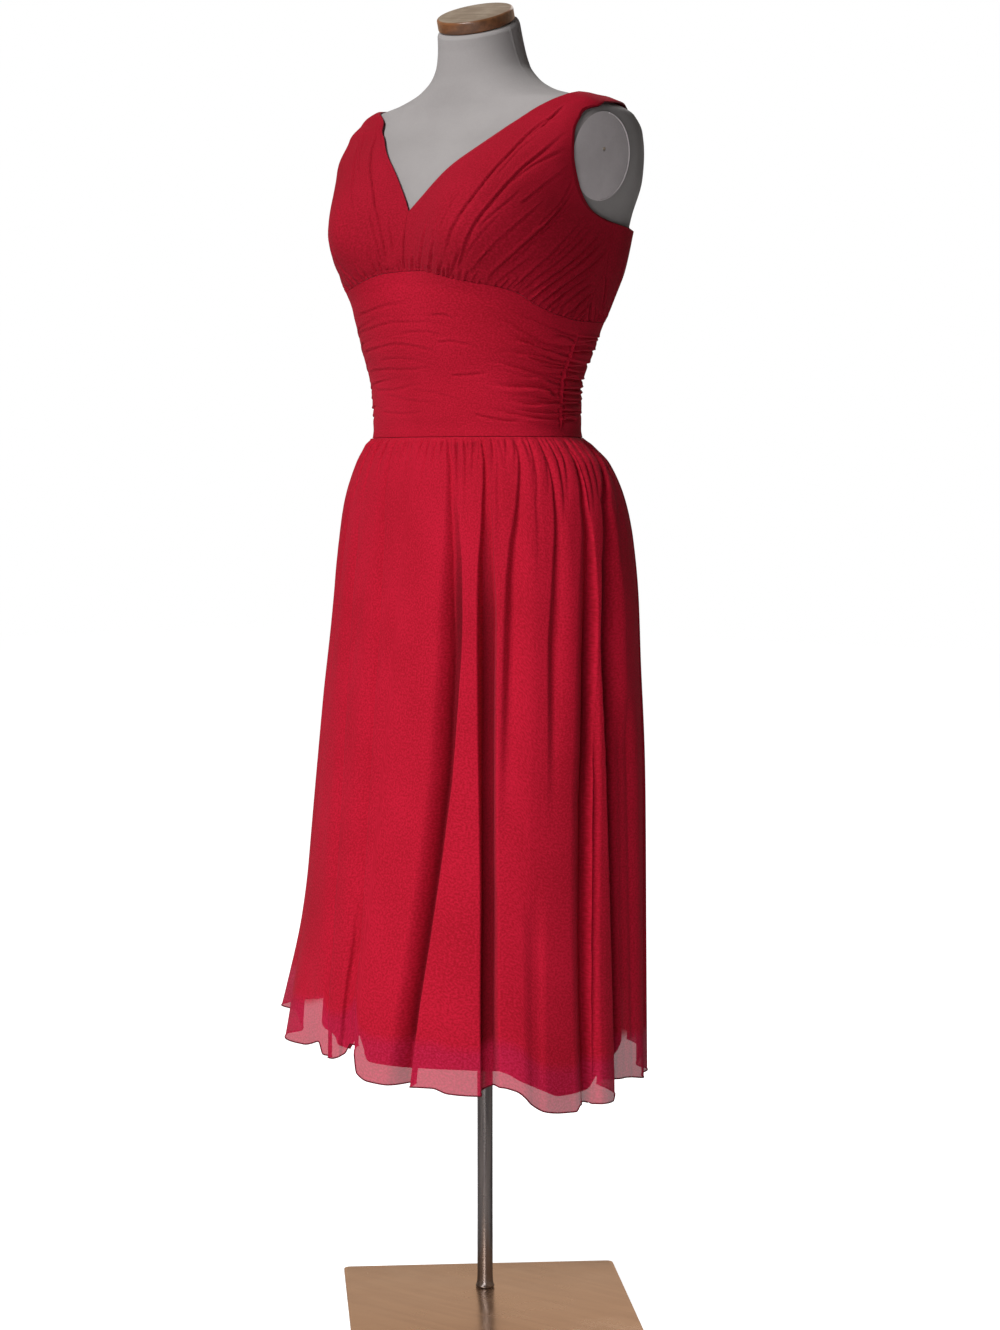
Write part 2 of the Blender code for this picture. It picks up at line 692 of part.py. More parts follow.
def skirt_grid(back, columns, heights, offset, hem_line):
    """Rows of (point, normal) from the hem to the waist seam. Offset gives the way out at a place."""
    seam = GAP / 2
    grid = []
    for share in reversed(heights):
        line = []
        for column in range(columns + 1):
            u = column / columns
            angle = math.radians((0 if back else -180) + 180 * u)
            hem = hem_height(hem_line, angle)
            top = WAIST_SEAM - seam
            height = hem + (top - hem) * share
            point, normal = skirt_point(angle, height, offset(angle, 1 - share))
            if column in (0, columns):
                point.y += seam if back else -seam
            line.append((point, normal))
        grid.append(line)
    return grid


def overlay_offset(angle, down):
    return LINING_INSIDE + fold_height(angle, down)


def lining_offset(angle, down):
    grown = smooth_step(down * 4)
    wave = 1.5 * MM * math.cos(9 * angle) * grown
    return -LINING_INSIDE - (FOLD_DEPTH * smooth_step(down * 1.4) ** 0.7) - LINING_CLEARANCE * grown + wave


def make_skirt():
    for back, suffix in ((False, "front"), (True, "back")):
        overlay = skirt_grid(back, OVERLAY_COLUMNS, OVERLAY_HEIGHTS, overlay_offset, HEM_LINE)
        cloth_wall("skirt_" + suffix, overlay, SKIRT_THICKNESS, CHIFFON_MATERIAL)
        lining = skirt_grid(back, LINING_COLUMNS, LINING_HEIGHTS, lining_offset, LINING_HEM_LINE)
        cloth_wall("skirt_lining_" + suffix, lining, SKIRT_THICKNESS, LINING_MATERIAL)


def main():
    clear_scene()
    make_base_plate()
    make_pole()
    make_form_torso()
    make_neck_cap()
    make_arm_plates()
    make_bodice()
    make_midriff()
    make_skirt()


main()
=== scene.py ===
import math
from collections import namedtuple

import bmesh
import bpy
import numpy as np
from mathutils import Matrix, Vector


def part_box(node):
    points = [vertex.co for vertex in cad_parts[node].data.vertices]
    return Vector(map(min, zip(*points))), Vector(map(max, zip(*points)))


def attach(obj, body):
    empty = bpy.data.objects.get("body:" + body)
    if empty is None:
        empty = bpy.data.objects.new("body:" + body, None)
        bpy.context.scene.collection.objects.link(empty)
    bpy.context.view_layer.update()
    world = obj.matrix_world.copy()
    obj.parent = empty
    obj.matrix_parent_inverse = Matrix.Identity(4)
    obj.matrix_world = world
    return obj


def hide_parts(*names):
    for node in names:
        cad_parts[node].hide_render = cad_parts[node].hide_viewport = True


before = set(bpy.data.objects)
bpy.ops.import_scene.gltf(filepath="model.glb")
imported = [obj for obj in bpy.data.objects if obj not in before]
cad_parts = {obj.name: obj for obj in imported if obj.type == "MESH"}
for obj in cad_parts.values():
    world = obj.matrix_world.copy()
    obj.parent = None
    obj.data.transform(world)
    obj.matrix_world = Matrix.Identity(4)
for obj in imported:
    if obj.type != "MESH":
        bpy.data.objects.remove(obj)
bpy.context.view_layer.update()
print("frame loaded:", len(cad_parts), "nodes")
cm = 0.01
mm = 0.001

# Level sections of the dress form and of the skirt, in centimetres, as the solids have them
Section = namedtuple("Section", "height halfWidth front back side frontPower backPower")
formSections = [
    Section(70.0, 16.6, -12.4, 11.6, -0.4, 2.15, 2.15),
    Section(76.0, 17.2, -12.8, 12.8, -0.2, 2.15, 2.15),
    Section(85.0, 17.3, -12.9, 13.2, -0.2, 2.15, 2.15),  # hips
    Section(93.0, 16.2, -12.6, 12.0, -0.8, 2.15, 2.15),
    Section(100.0, 14.2, -11.7, 9.8, -1.6, 2.15, 2.15),
    Section(106.0, 12.8, -10.8, 8.4, -2.0, 2.15, 2.15),  # waist
    Section(110.0, 13.0, -11.1, 8.4, -2.0, 2.15, 2.15),
    Section(115.0, 14.1, -12.4, 9.7, -1.0, 2.25, 2.25),
    Section(120.0, 15.0, -13.2, 11.4, 0.8, 2.4, 2.4),
    Section(125.0, 15.8, -13.4, 12.8, 3.0, 2.6, 2.5),  # bust
    Section(130.0, 16.4, -12.8, 13.6, 3.4, 3.0, 2.7),
    Section(134.5, 17.6, -11.2, 14.4, 2.0, 3.4, 3.1),
    Section(137.4, 17.9, -9.3, 14.5, 1.2, 4.0, 3.2),
    Section(140.0, 18.0, -7.0, 14.0, 0.8, 4.0, 3.2),
    Section(141.8, 17.9, -6.1, 12.6, 0.4, 2.6, 3.0),
    Section(143.2, 16.2, -5.9, 9.6, 0.0, 2.2, 2.5),  # shoulders
    Section(143.9, 12.7, -5.9, 8.2, 0.0, 2.1, 2.2),
    Section(145.2, 8.7, -5.9, 7.1, 0.0, 2.0, 2.1),
    Section(146.6, 6.6, -5.8, 6.3, 0.0, 2.0, 2.0),
    Section(148.0, 5.6, -5.8, 5.4, -0.2, 2.0, 2.0),  # neck
    Section(149.65, 5.2, -5.8, 4.6, -0.5, 2.0, 2.0),
    Section(152.25, 4.9, -6.0, 3.8, -1.0, 2.0, 2.0),
    Section(154.5, 4.75, -6.2, 3.2, -1.5, 2.0, 2.0),
]
skirtSections = [
    Section(28.0, 20.8, -22.8, 16.4, -2.5, 2.0, 2.0),
    Section(38.0, 20.6, -22.0, 16.5, -2.3, 2.0, 2.0),
    Section(46.0, 20.3, -20.6, 16.6, -1.9, 2.0, 2.0),
    Section(56.0, 20.0, -19.0, 16.6, -1.4, 2.0, 2.0),
    Section(65.5, 19.8, -17.7, 16.5, -0.9, 2.0, 2.0),
    Section(75.0, 19.5, -16.7, 16.1, -0.5, 2.0, 2.0),
    Section(85.0, 19.1, -15.5, 15.5, -0.2, 2.05, 2.05),
    Section(92.0, 18.4, -14.4, 14.6, -0.2, 2.1, 2.1),
    Section(97.0, 17.4, -13.6, 13.5, -0.5, 2.15, 2.15),
    Section(101.0, 15.8, -12.7, 12.1, -1.0, 2.15, 2.15),
    Section(103.2, 14.2, -12.1, 9.8, -1.6, 2.15, 2.15),
    Section(104.0, 13.62, -11.73, 9.03, -1.93, 2.15, 2.15),
]
bust = {"across": 9.8, "height": 127.6, "depth": 3.8, "width": 6.4, "above": 7.5, "below": 6.5}

SeamPoint = namedtuple("SeamPoint", "angle height")
empireSeam = [
    SeamPoint(0, 123.2),
    SeamPoint(11, 123.1),
    SeamPoint(19, 122.7),
    SeamPoint(30, 122.0),
    SeamPoint(45, 121.2),
    SeamPoint(54, 120.4),
    SeamPoint(62, 119.2),
    SeamPoint(75, 118.0),
    SeamPoint(90, 117.5),
    SeamPoint(135, 118.2),
    SeamPoint(180, 118.6),
]
EdgePoint = namedtuple("EdgePoint", "row angle height")
frontOpeningLeft = [
    EdgePoint(0.24, 0.0, 129.85),  # point of the V
    EdgePoint(0.33, 6.5, 131.2),
    EdgePoint(0.48, 21.0, 134.4),
    EdgePoint(0.62, 37.4, 137.0),
    EdgePoint(0.75, 54.5, 139.75),
    EdgePoint(0.88, 69.0, 141.9),
    EdgePoint(0.92, 75.5, 142.7),
    EdgePoint(0.97, 84.5, 143.35),
    EdgePoint(1.00, 90.0, 143.6),  # on the shoulder seam
]
frontOpeningRight = [
    EdgePoint(0.24, 0.0, 129.85),
    EdgePoint(0.33, 3.6, 131.5),
    EdgePoint(0.48, 14.5, 134.5),
    EdgePoint(0.62, 32.0, 137.3),
    EdgePoint(0.75, 51.5, 139.95),
    EdgePoint(0.88, 66.0, 142.35),
    EdgePoint(0.92, 73.0, 143.0),
    EdgePoint(0.97, 84.0, 143.5),
    EdgePoint(1.00, 90.0, 143.6),
]
frontArmhole = [
    EdgePoint(0.33, 90.0, 128.95),  # underarm
    EdgePoint(0.42, 83.0, 129.4),
    EdgePoint(0.50, 76.0, 130.4),
    EdgePoint(0.60, 71.0, 132.8),
    EdgePoint(0.70, 69.7, 135.6),
    EdgePoint(0.80, 71.3, 138.2),
    EdgePoint(0.90, 77.0, 140.7),
    EdgePoint(1.00, 90.0, 142.3),
]
backOpening = [
    EdgePoint(0.62, 180.0, 131.5),  # point of the back's shallower V
    EdgePoint(0.66, 171.5, 132.7),
    EdgePoint(0.71, 160.0, 134.9),
    EdgePoint(0.77, 153.0, 137.4),
    EdgePoint(0.83, 147.0, 140.0),
    EdgePoint(0.90, 137.0, 142.0),
    EdgePoint(0.95, 120.0, 143.25),
    EdgePoint(0.98, 102.0, 143.6),
    EdgePoint(1.00, 90.0, 143.6),
]
backArmhole = [
    EdgePoint(0.33, 90.0, 128.95),
    EdgePoint(0.42, 102.0, 128.6),
    EdgePoint(0.50, 113.0, 128.5),
    EdgePoint(0.58, 126.0, 130.0),
    EdgePoint(0.67, 135.5, 133.6),
    EdgePoint(0.78, 138.5, 137.4),
    EdgePoint(0.87, 133.5, 140.6),
    EdgePoint(0.93, 121.0, 142.3),
    EdgePoint(0.97, 106.0, 142.6),
    EdgePoint(1.00, 90.0, 142.3),
]
Fold = namedtuple("Fold", "angle width drift height flare")
skirtFolds = [
    Fold(-172, 9, 4, 9, 3),
    Fold(-152, 10, 3, 11, 4),
    Fold(-131, 9, -2, 9, 3),
    Fold(-112, 10, -4, 12, 5),
    Fold(-89, 11, -3, 10, 6),
    Fold(-63, 12, -8, 12, 22),
    Fold(-36, 13, -4, 11, 13),
    Fold(-9, 8, 3, 8, 2),
    Fold(12, 10, 5, 9, 2),
    Fold(33, 10, 5, 10, 3),
    Fold(58, 13, 3, 14, 5),
    Fold(77, 5, 1, 8, 4),
    Fold(85, 6, 2, 11, 5),
    Fold(99, 9, 2, 10, 2),
    Fold(116, 10, 4, 10, 1),
    Fold(134, 9, 3, 9, 1),
    Fold(151, 9, -3, 11, 4),
    Fold(169, 9, -4, 10, 3),
]
HemPoint = namedtuple("HemPoint", "angle rise")
hemLine = [
    HemPoint(-180, 32),
    HemPoint(-120, 54),
    HemPoint(-80, 66),
    HemPoint(-64, 63),
    HemPoint(-51.5, 65),
    HemPoint(-46.5, 46),
    HemPoint(-38, 42),
    HemPoint(-27, 41),
    HemPoint(-22, 45),
    HemPoint(-18.3, 49),
    HemPoint(-16, 35),
    HemPoint(-10, 34.5),
    HemPoint(-5.4, 41),
    HemPoint(-3.6, 53),
    HemPoint(0.6, 53),
    HemPoint(2.8, 23),
    HemPoint(7, 16),
    HemPoint(20, 14.5),
    HemPoint(29, 15.5),
    HemPoint(33.5, 10),
    HemPoint(42, 7.5),
    HemPoint(46.5, 14),
    HemPoint(50, 17.5),
    HemPoint(54, 13),
    HemPoint(58.5, -3),
    HemPoint(62.5, -12),
    HemPoint(69, -17),
    HemPoint(74, -18),
    HemPoint(75.6, -12),
    HemPoint(88.5, -13),
    HemPoint(91.5, 3),
    HemPoint(101, 4.5),
    HemPoint(113, -2),
    HemPoint(122, 2),
    HemPoint(140, 22),
    HemPoint(180, 32),
]
liningHemLine = [
    HemPoint(-180, 58),
    HemPoint(-120, 76),
    HemPoint(-80, 76),
    HemPoint(-50, 55),
    HemPoint(-36, 54),
    HemPoint(-23, 52),
    HemPoint(-20, 41),
    HemPoint(-12, 40),
    HemPoint(-9.5, 58),
    HemPoint(-5.5, 60),
    HemPoint(-3, 34),
    HemPoint(0, 30),
    HemPoint(30, 30),
    HemPoint(50, 29),
    HemPoint(58, 16),
    HemPoint(66, 4),
    HemPoint(74, -6),
    HemPoint(86, -3),
    HemPoint(91, 10),
    HemPoint(97, 22),
    HemPoint(104, 24),
    HemPoint(120, 32),
    HemPoint(140, 46),
    HemPoint(180, 58),
]
cloth = {
    "ease": 4.0 * mm,
    "shoulderEase": 3.0 * mm,
    "waistSeam": 104.0 * cm,
    "hem": 28.5 * cm,
    "foldDepth": 5 * mm,
    "flareReach": 0.26,
    "liningInside": 0.9 * mm,
    "liningClearance": 3.5 * mm,
    "deeper": 12 * mm,  # how much further in the sharpest valleys of the overlay, and the lining, may go
}


def curveAt(rows, key, places):
    # every column of a table at many places, on a smooth curve that never overshoots
    table = np.array(rows, float)
    keys = table[:, rows[0]._fields.index(key)]
    places = np.clip(np.asarray(places, float), keys[0], keys[-1])
    at = np.clip(np.searchsorted(keys, places, side="right") - 1, 0, len(keys) - 2)
    steps = np.diff(keys)
    rises = np.diff(table, axis=0) / steps[:, None]
    before, after = rises[:-1], rises[1:]
    product = before * after
    total = np.where(product > 0, before + after, 1.0)
    slopes = np.vstack([rises[:1], np.where(product > 0, 2 * product / total, 0.0), rises[-1:]])
    width = steps[at][..., None]
    s = ((places - keys[at]) / steps[at])[..., None]
    start, end = table[at], table[at + 1]
    return (
        (1 + 2 * s) * (1 - s) ** 2 * start
        + s * (1 - s) ** 2 * width * slopes[at]
        + s * s * (3 - 2 * s) * end
        + s * s * (s - 1) * width * slopes[at + 1]
    )


def smoothStep(value):
    value = np.clip(value, 0.0, 1.0)
    return value * value * (3 - 2 * value)


def onSections(sections, angle, height):
    # X and Y of the outline at an angle about the side line, 0 at +X and 90 degrees at the back
    row = curveAt(sections, "height", height / cm)
    halfWidth, front, back, side = (row[..., i] * cm for i in (1, 2, 3, 4))
    across, along = np.cos(angle), np.sin(angle)
    depth = np.where(along > 0, back - side, side - front)
    power = np.where(along > 0, row[..., 6], row[..., 5])
    reach = (np.abs(across / halfWidth) ** power + np.abs(along / depth) ** power) ** (-1 / power)
    return reach * across, side + reach * along


def formPoint(angle, height):
    angle, height = np.broadcast_arrays(np.asarray(angle, float), np.asarray(height, float))
    x, y = onSections(formSections, angle, height)
    reach = np.where(height > bust["height"] * cm, bust["above"], bust["below"]) * cm
    towardsFront = np.clip((2 * cm - y) / (8 * cm), 0.0, 1.0)
    spread = ((np.abs(x) - bust["across"] * cm) / (bust["width"] * cm)) ** 2
    spread = spread + ((height - bust["height"] * cm) / reach) ** 2
    return np.stack([x, y - bust["depth"] * cm * np.exp(-spread) * towardsFront, height], axis=-1)


def unit(vectors):
    return vectors / np.maximum(np.linalg.norm(vectors, axis=-1, keepdims=True), 1e-12)


def surfaceNormal(surface, angle, height):
    step = 0.001
    roundIt = surface(angle + step, height) - surface(angle - step, height)
    upIt = surface(angle, height + step) - surface(angle, height - step)
    return unit(np.cross(roundIt, upIt))


def fromFront(angle):
    return (np.degrees(angle) + 270) % 360 - 180


def empireHeight(angle):
    return curveAt(empireSeam, "angle", np.abs(fromFront(angle)))[..., 1] * cm


def edgePlace(edge, row):
    # angle from the centre front and height of a panel's edge, straight up to its corner
    found = curveAt(edge, "row", row)
    corner = edge[0]
    start = empireHeight(math.radians(corner.angle - 90))
    straight = start + (corner.height * cm - start) * row / corner.row
    below = row < corner.row
    angle = np.radians(np.where(below, corner.angle, found[..., 1]))
    return angle, np.where(below, straight, found[..., 2] * cm)


def bodicePlace(opening, armhole, u, v):
    # point and normal of half a bodice on the wearer's left
    # u runs from its centre edge to its side, v from the seam up
    innerAngle, innerHeight = edgePlace(opening, v)
    outerAngle, outerHeight = edgePlace(armhole, v)
    angle = innerAngle + (outerAngle - innerAngle) * u - math.pi / 2
    seamBelow = empireHeight(angle) - (
        empireHeight(innerAngle - math.pi / 2) * (1 - u) + empireHeight(outerAngle - math.pi / 2) * u
    )
    height = innerHeight + (outerHeight - innerHeight) * u + seamBelow * np.clip(1 - v / 0.06, 0, 1)
    normal = surfaceNormal(formPoint, angle, height)
    ease = cloth["ease"] + (cloth["shoulderEase"] - cloth["ease"]) * smoothStep(v * 10 - 9)
    return formPoint(angle, height) + normal * np.asarray(ease)[..., None], normal


def midriffPlace(back, u, v):
    angle = np.radians(90 - 90 * u if back else -90 + 90 * u)
    low, high = cloth["waistSeam"], empireHeight(angle)
    height = low + (high - low) * v
    normal = surfaceNormal(formPoint, angle, height)
    point = formPoint(angle, height) + normal * cloth["ease"]
    point[..., 2] -= normal[..., 2] * cloth["ease"] * (1 - v)
    return point, normal


def hemHeight(line, angle):
    return cloth["hem"] + curveAt(line, "angle", fromFront(angle))[..., 1] * mm


def skirtPlace(angle, height):
    x, y = onSections(skirtSections, angle, height)
    xAfter, yAfter = onSections(skirtSections, angle + 0.01, height)
    xBefore, yBefore = onSections(skirtSections, angle - 0.01, height)
    normal = unit(np.stack([yAfter - yBefore, xBefore - xAfter, np.zeros_like(x)], axis=-1))
    return np.stack([x, y, height], axis=-1), normal


# Meshes


def addMesh(name, points, faceGroups, looks, uv=None, lookOfGroup=None, sharp=55):
    # one object from points and groups of faces of equal size, shaded smooth up to the sharp angle
    mesh = bpy.data.meshes.new(name)
    groups = [np.asarray(group) for group in faceGroups if len(group)]
    corners = np.concatenate([group.ravel() for group in groups]).astype(np.int32)
    sizes = np.concatenate([np.full(len(group), group.shape[1]) for group in groups])
    starts = np.concatenate([[0], np.cumsum(sizes)[:-1]]).astype(np.int32)
    mesh.vertices.add(len(points))
    mesh.vertices.foreach_set("co", np.ascontiguousarray(points, np.float32).ravel())
    mesh.loops.add(len(corners))
    mesh.loops.foreach_set("vertex_index", corners)
    mesh.polygons.add(len(sizes))
    mesh.polygons.foreach_set("loop_start", starts)
    if lookOfGroup:
        look = np.concatenate([np.full(len(g), lookOfGroup[i]) for i, g in enumerate(groups)])
        mesh.polygons.foreach_set("material_index", look.astype(np.int32))
    mesh.update(calc_edges=True)
    if uv is not None:
        layer = mesh.uv_layers.new(name="cut")
        layer.uv.foreach_set("vector", np.asarray(uv, np.float32)[corners].ravel())
    for look in looks:
        mesh.materials.append(look)
    mesh.shade_smooth()
    mesh.set_sharp_from_angle(angle=math.radians(sharp))
    obj = bpy.data.objects.new(name, mesh)
    bpy.context.scene.collection.objects.link(obj)
    return obj


def gridFaces(rows, columns, closed=False):
    # quads of a grid whose columns run anticlockwise seen from above, facing outwards
    row, column = np.meshgrid(
        np.arange(rows - 1), np.arange(columns if closed else columns - 1), indexing="ij"
    )
    after = (column + 1) % columns
    here, there = row * columns + column, row * columns + after
    return np.stack([here, there, there + columns, here + columns], axis=-1).reshape(-1, 4)


def facing(points, normals):
    # True where the grid's own faces look along the given normals
    across = np.diff(points, axis=1)[:-1]
    upwards = np.diff(points, axis=0)[:, :-1]
    return float((np.cross(across, upwards) * normals[:-1, :-1]).sum()) > 0


def clothShell(name, outer, inner, normals, looks, lengths, every=3):
    # closed cloth: a fine outer side, a plainer inner side with every third point, and a rim all round
    if not facing(outer, normals):
        outer, inner, lengths = outer[:, ::-1], inner[:, ::-1], lengths[:, ::-1]
    rows, columns = outer.shape[:2]
    inner = inner[::every, ::every]
    innerRows, innerColumns = inner.shape[:2]
    start = rows * columns
    outerEdge = edgeLoop(rows, columns)
    innerEdge = start + edgeLoop(innerRows, innerColumns)
    count = len(innerEdge)
    rim = []
    for i in range(count):
        along = [outerEdge[(i * every + j) % len(outerEdge)] for j in range(every, -1, -1)]
        rim.append(along + [innerEdge[i], innerEdge[(i + 1) % count]])
    points = np.concatenate([outer.reshape(-1, 3), inner.reshape(-1, 3)])
    uv = np.concatenate([lengths.reshape(-1, 2), lengths[::every, ::every].reshape(-1, 2)])
    inside = start + gridFaces(innerRows, innerColumns)[:, ::-1]
    return addMesh(name, points, [gridFaces(rows, columns), inside, rim], looks, uv)


def edgeLoop(rows, columns):
    # the grid's outline, in the order in which its own faces run along it
    grid = np.arange(rows * columns).reshape(rows, columns)
    return np.concatenate([grid[0, :-1], grid[:-1, -1], grid[-1, :0:-1], grid[:0:-1, 0]])


def tube(name, line, sideways, outwards, width, thickness, looks, closed, sides=10):
    # a rounded band along a line; width lies sideways, thickness outwards
    turn = 2 * np.pi * np.arange(sides) / sides
    ring = (
        line[:, None]
        + sideways[:, None] * (np.cos(turn) * width / 2)[None, :, None]
        + outwards[:, None] * (np.sin(turn) * thickness / 2)[None, :, None]
    )
    count = len(line)
    points = ring.reshape(-1, 3)
    steps = np.arange(count if closed else count - 1)
    here, there = np.meshgrid(steps, np.arange(sides), indexing="ij")
    nextRing, nextSide = (here + 1) % count, (there + 1) % sides
    quads = np.stack(
        [
            here * sides + there, here * sides + nextSide, nextRing * sides + nextSide,
            nextRing * sides + there
        ], axis=-1
    ).reshape(-1, 4)
    run = np.cumsum(np.linalg.norm(np.diff(line, axis=0, append=line[:1]), axis=1))
    uv = np.stack([np.repeat(run, sides), np.tile(turn * width / 2, count)], axis=-1)
    groups = [quads]
    if not closed:
        first, last = np.arange(sides), (count - 1) * sides + np.arange(sides)
        groups.append(np.stack([first[::-1], last]))
    obj = addMesh(name, points, groups, looks, uv)
    outwardFaces(obj)
    return obj


def outwardFaces(obj):
    shape = bmesh.new()
    shape.from_mesh(obj.data)
    bmesh.ops.recalc_face_normals(shape, faces=shape.faces)
    shape.to_mesh(obj.data)
    shape.free()


def lathe(name, profile, looks, sides=96, lookOfGroup=None):
    # a turned piece from (radius, height) pairs, bottom to top, with flat ends
    turn = 2 * np.pi * np.arange(sides) / sides
    radius, height = np.array(profile, float).T
    points = np.stack(
        [
            radius[:, None] * np.cos(turn), radius[:, None] * np.sin(turn),
            np.broadcast_to(height[:, None], (len(profile), sides))
        ],
        axis=-1,
    ).reshape(-1, 3)
    last = (len(profile) - 1) * sides
    groups = [gridFaces(len(profile), sides, True), [np.arange(sides)[::-1]], [last + np.arange(sides)]]
    return addMesh(name, points, groups, looks, lookOfGroup=lookOfGroup, sharp=35)


# Finishes: the groups give only heights and masks, and each finish has its own shader


def newGroup(name, inputs, outputs):
    group = bpy.data.node_groups.new(name, "ShaderNodeTree")
    for label, kind, value in inputs:
        socket = group.interface.new_socket(label, in_out="INPUT", socket_type=kind)
        if value is not None:
            socket.default_value = value
    for label, kind in outputs:
        group.interface.new_socket(label, in_out="OUTPUT", socket_type=kind)
    return group, group.nodes.new("NodeGroupInput"), group.nodes.new("NodeGroupOutput")


def node(tree, kind, values=None, **settings):
    made = tree.nodes.new(kind)
    for setting, value in settings.items():
        setattr(made, setting, value)
    for label, value in (values or {}).items():
        made.inputs[label].default_value = value
    return made


def arithmetic(tree, operation, first, second):
    made = node(tree, "ShaderNodeMath", operation=operation)
    for socket, value in zip(made.inputs, (first, second)):
        if isinstance(value, (int, float)):
            socket.default_value = value
        else:
            tree.links.new(value, socket)
    return made.outputs[0]


def remap(tree, value, low, high, newLow, newHigh):
    made = node(tree, "ShaderNodeMapRange", interpolation_type="SMOOTHSTEP")
    tree.links.new(value, made.inputs["Value"])
    for label, number in zip(("From Min", "From Max", "To Min", "To Max"), (low, high, newLow, newHigh)):
        made.inputs[label].default_value = number
    return made.outputs["Result"]


def stretched(tree, vector, factors):
    made = node(tree, "ShaderNodeVectorMath", operation="MULTIPLY")
    tree.links.new(vector, made.inputs[0])
    made.inputs[1].default_value = factors
    return made.outputs["Vector"]


def noise(tree, vector, scale, detail, roughness=0.5):
    made = node(tree, "ShaderNodeTexNoise", {"Scale": scale, "Detail": detail, "Roughness": roughness})
    tree.links.new(vector, made.inputs["Vector"])
    return made.outputs[0]


def makeCrepeGroup():
    # crepe yarns: fine crossing threads, broken up by their twist, with a slow drift of tone
    group, given, out = newGroup(
        "crepeWeave",
        [
            ("Place", "NodeSocketVector", None), ("Threads", "NodeSocketFloat", 900.0),
            ("Twist", "NodeSocketFloat", 0.5)
        ],
        [("Height", "NodeSocketFloat"), ("Tone", "NodeSocketFloat")],
    )
    place, threads = given.outputs["Place"], given.outputs["Threads"]
    waves = []
    for direction in ("X", "Y"):
        wave = node(group, "ShaderNodeTexWave", {"Distortion": 5.0, "Detail": 2.0, "Detail Scale": 1.6})
        wave.bands_direction = direction
        group.links.new(place, wave.inputs["Vector"])
        group.links.new(threads, wave.inputs["Scale"])
        waves.append(wave.outputs["Fac"])
    grain = node(group, "ShaderNodeTexNoise", {"Detail": 3.0, "Roughness": 0.65})
    group.links.new(place, grain.inputs["Vector"])
    group.links.new(threads, grain.inputs["Scale"])
    yarns = arithmetic(group, "MULTIPLY", arithmetic(group, "ADD", waves[0], waves[1]), 0.5)
    broken = node(group, "ShaderNodeMix", data_type="FLOAT")
    group.links.new(given.outputs["Twist"], broken.inputs["Factor"])
    group.links.new(yarns, broken.inputs["A"])
    group.links.new(grain.outputs[0], broken.inputs["B"])
    group.links.new(broken.outputs["Result"], out.inputs["Height"])
    slow = noise(group, place, 9.0, 2.0)
    speckle = noise(group, place, 420.0, 2.0)
    tone = arithmetic(
        group, "ADD", arithmetic(group, "MULTIPLY", slow, 0.25), arithmetic(group, "MULTIPLY", speckle, 0.75)
    )
    group.links.new(tone, out.inputs["Tone"])
    return group


def makeWearGroup():
    # soft stains, scuffs and dust, as a cloudy mask
    group, given, out = newGroup(
        "softWear",
        [
            ("Place", "NodeSocketVector", None), ("Size", "NodeSocketFloat", 12.0),
            ("Spread", "NodeSocketFloat", 0.5)
        ],
        [("Clouds", "NodeSocketFloat")],
    )
    softness = 0.18
    cloud = node(group, "ShaderNodeTexNoise", {"Detail": 4.0, "Roughness": 0.6})
    group.links.new(given.outputs["Place"], cloud.inputs["Vector"])
    group.links.new(given.outputs["Size"], cloud.inputs["Scale"])
    low = arithmetic(group, "SUBTRACT", given.outputs["Spread"], softness)
    high = arithmetic(group, "ADD", given.outputs["Spread"], softness)
    mask = node(group, "ShaderNodeMapRange", interpolation_type="SMOOTHSTEP")
    group.links.new(cloud.outputs[0], mask.inputs["Value"])
    group.links.new(low, mask.inputs["From Min"])
    group.links.new(high, mask.inputs["From Max"])
    group.links.new(mask.outputs["Result"], out.inputs["Clouds"])
    return group


def makeBrushGroup():
    # brushing: fine lines drawn out along one direction
    group, given, out = newGroup(
        "brushing",
        [("Place", "NodeSocketVector", None), ("Lines", "NodeSocketFloat", 700.0)],
        [("Height", "NodeSocketFloat"), ("Streaks", "NodeSocketFloat")],
    )
    fine = node(group, "ShaderNodeTexNoise", {"Detail": 2.0, "Roughness": 0.6})
    group.links.new(given.outputs["Place"], fine.inputs["Vector"])
    group.links.new(given.outputs["Lines"], fine.inputs["Scale"])
    broad = node(group, "ShaderNodeTexNoise", {"Detail": 3.0, "Roughness": 0.55})
    group.links.new(given.outputs["Place"], broad.inputs["Vector"])
    group.links.new(arithmetic(group, "MULTIPLY", given.outputs["Lines"], 0.12), broad.inputs["Scale"])
    group.links.new(fine.outputs[0], out.inputs["Height"])
    group.links.new(broad.outputs[0], out.inputs["Streaks"])
    return group


crepeWeave = makeCrepeGroup()
softWear = makeWearGroup()
brushing = makeBrushGroup()


def newFinish(name, roughness, metallic=0.0, specular=0.5, sheen=0.0, sheenTint=(1, 1, 1, 1), coat=0.0):
    # a finish with its shader, and constants set on the shader's own sockets
    made = bpy.data.materials.new(name)
    made.use_nodes = True
    tree = made.node_tree
    shader = tree.nodes["Principled BSDF"]
    values = {
        "Roughness": roughness,
        "Metallic": metallic,
        "Specular IOR Level": specular,
        "Sheen Weight": sheen,
        "Sheen Tint": sheenTint,
        "Sheen Roughness": 0.5,
        "Coat Weight": coat,
        "Coat Roughness": 0.15,
    }
    for label, value in values.items():
        shader.inputs[label].default_value = value
    return made, tree, shader


def placed(tree, group, vector, **values):
    made = node(tree, "ShaderNodeGroup")
    made.node_tree = group
    tree.links.new(vector, made.inputs["Place"])
    for label, value in values.items():
        made.inputs[label].default_value = value
    return made.outputs


def cutPlace(tree):
    return node(tree, "ShaderNodeUVMap", uv_map="cut").outputs["UV"]


def objectPlace(tree):
    return node(tree, "ShaderNodeTexCoord").outputs["Object"]


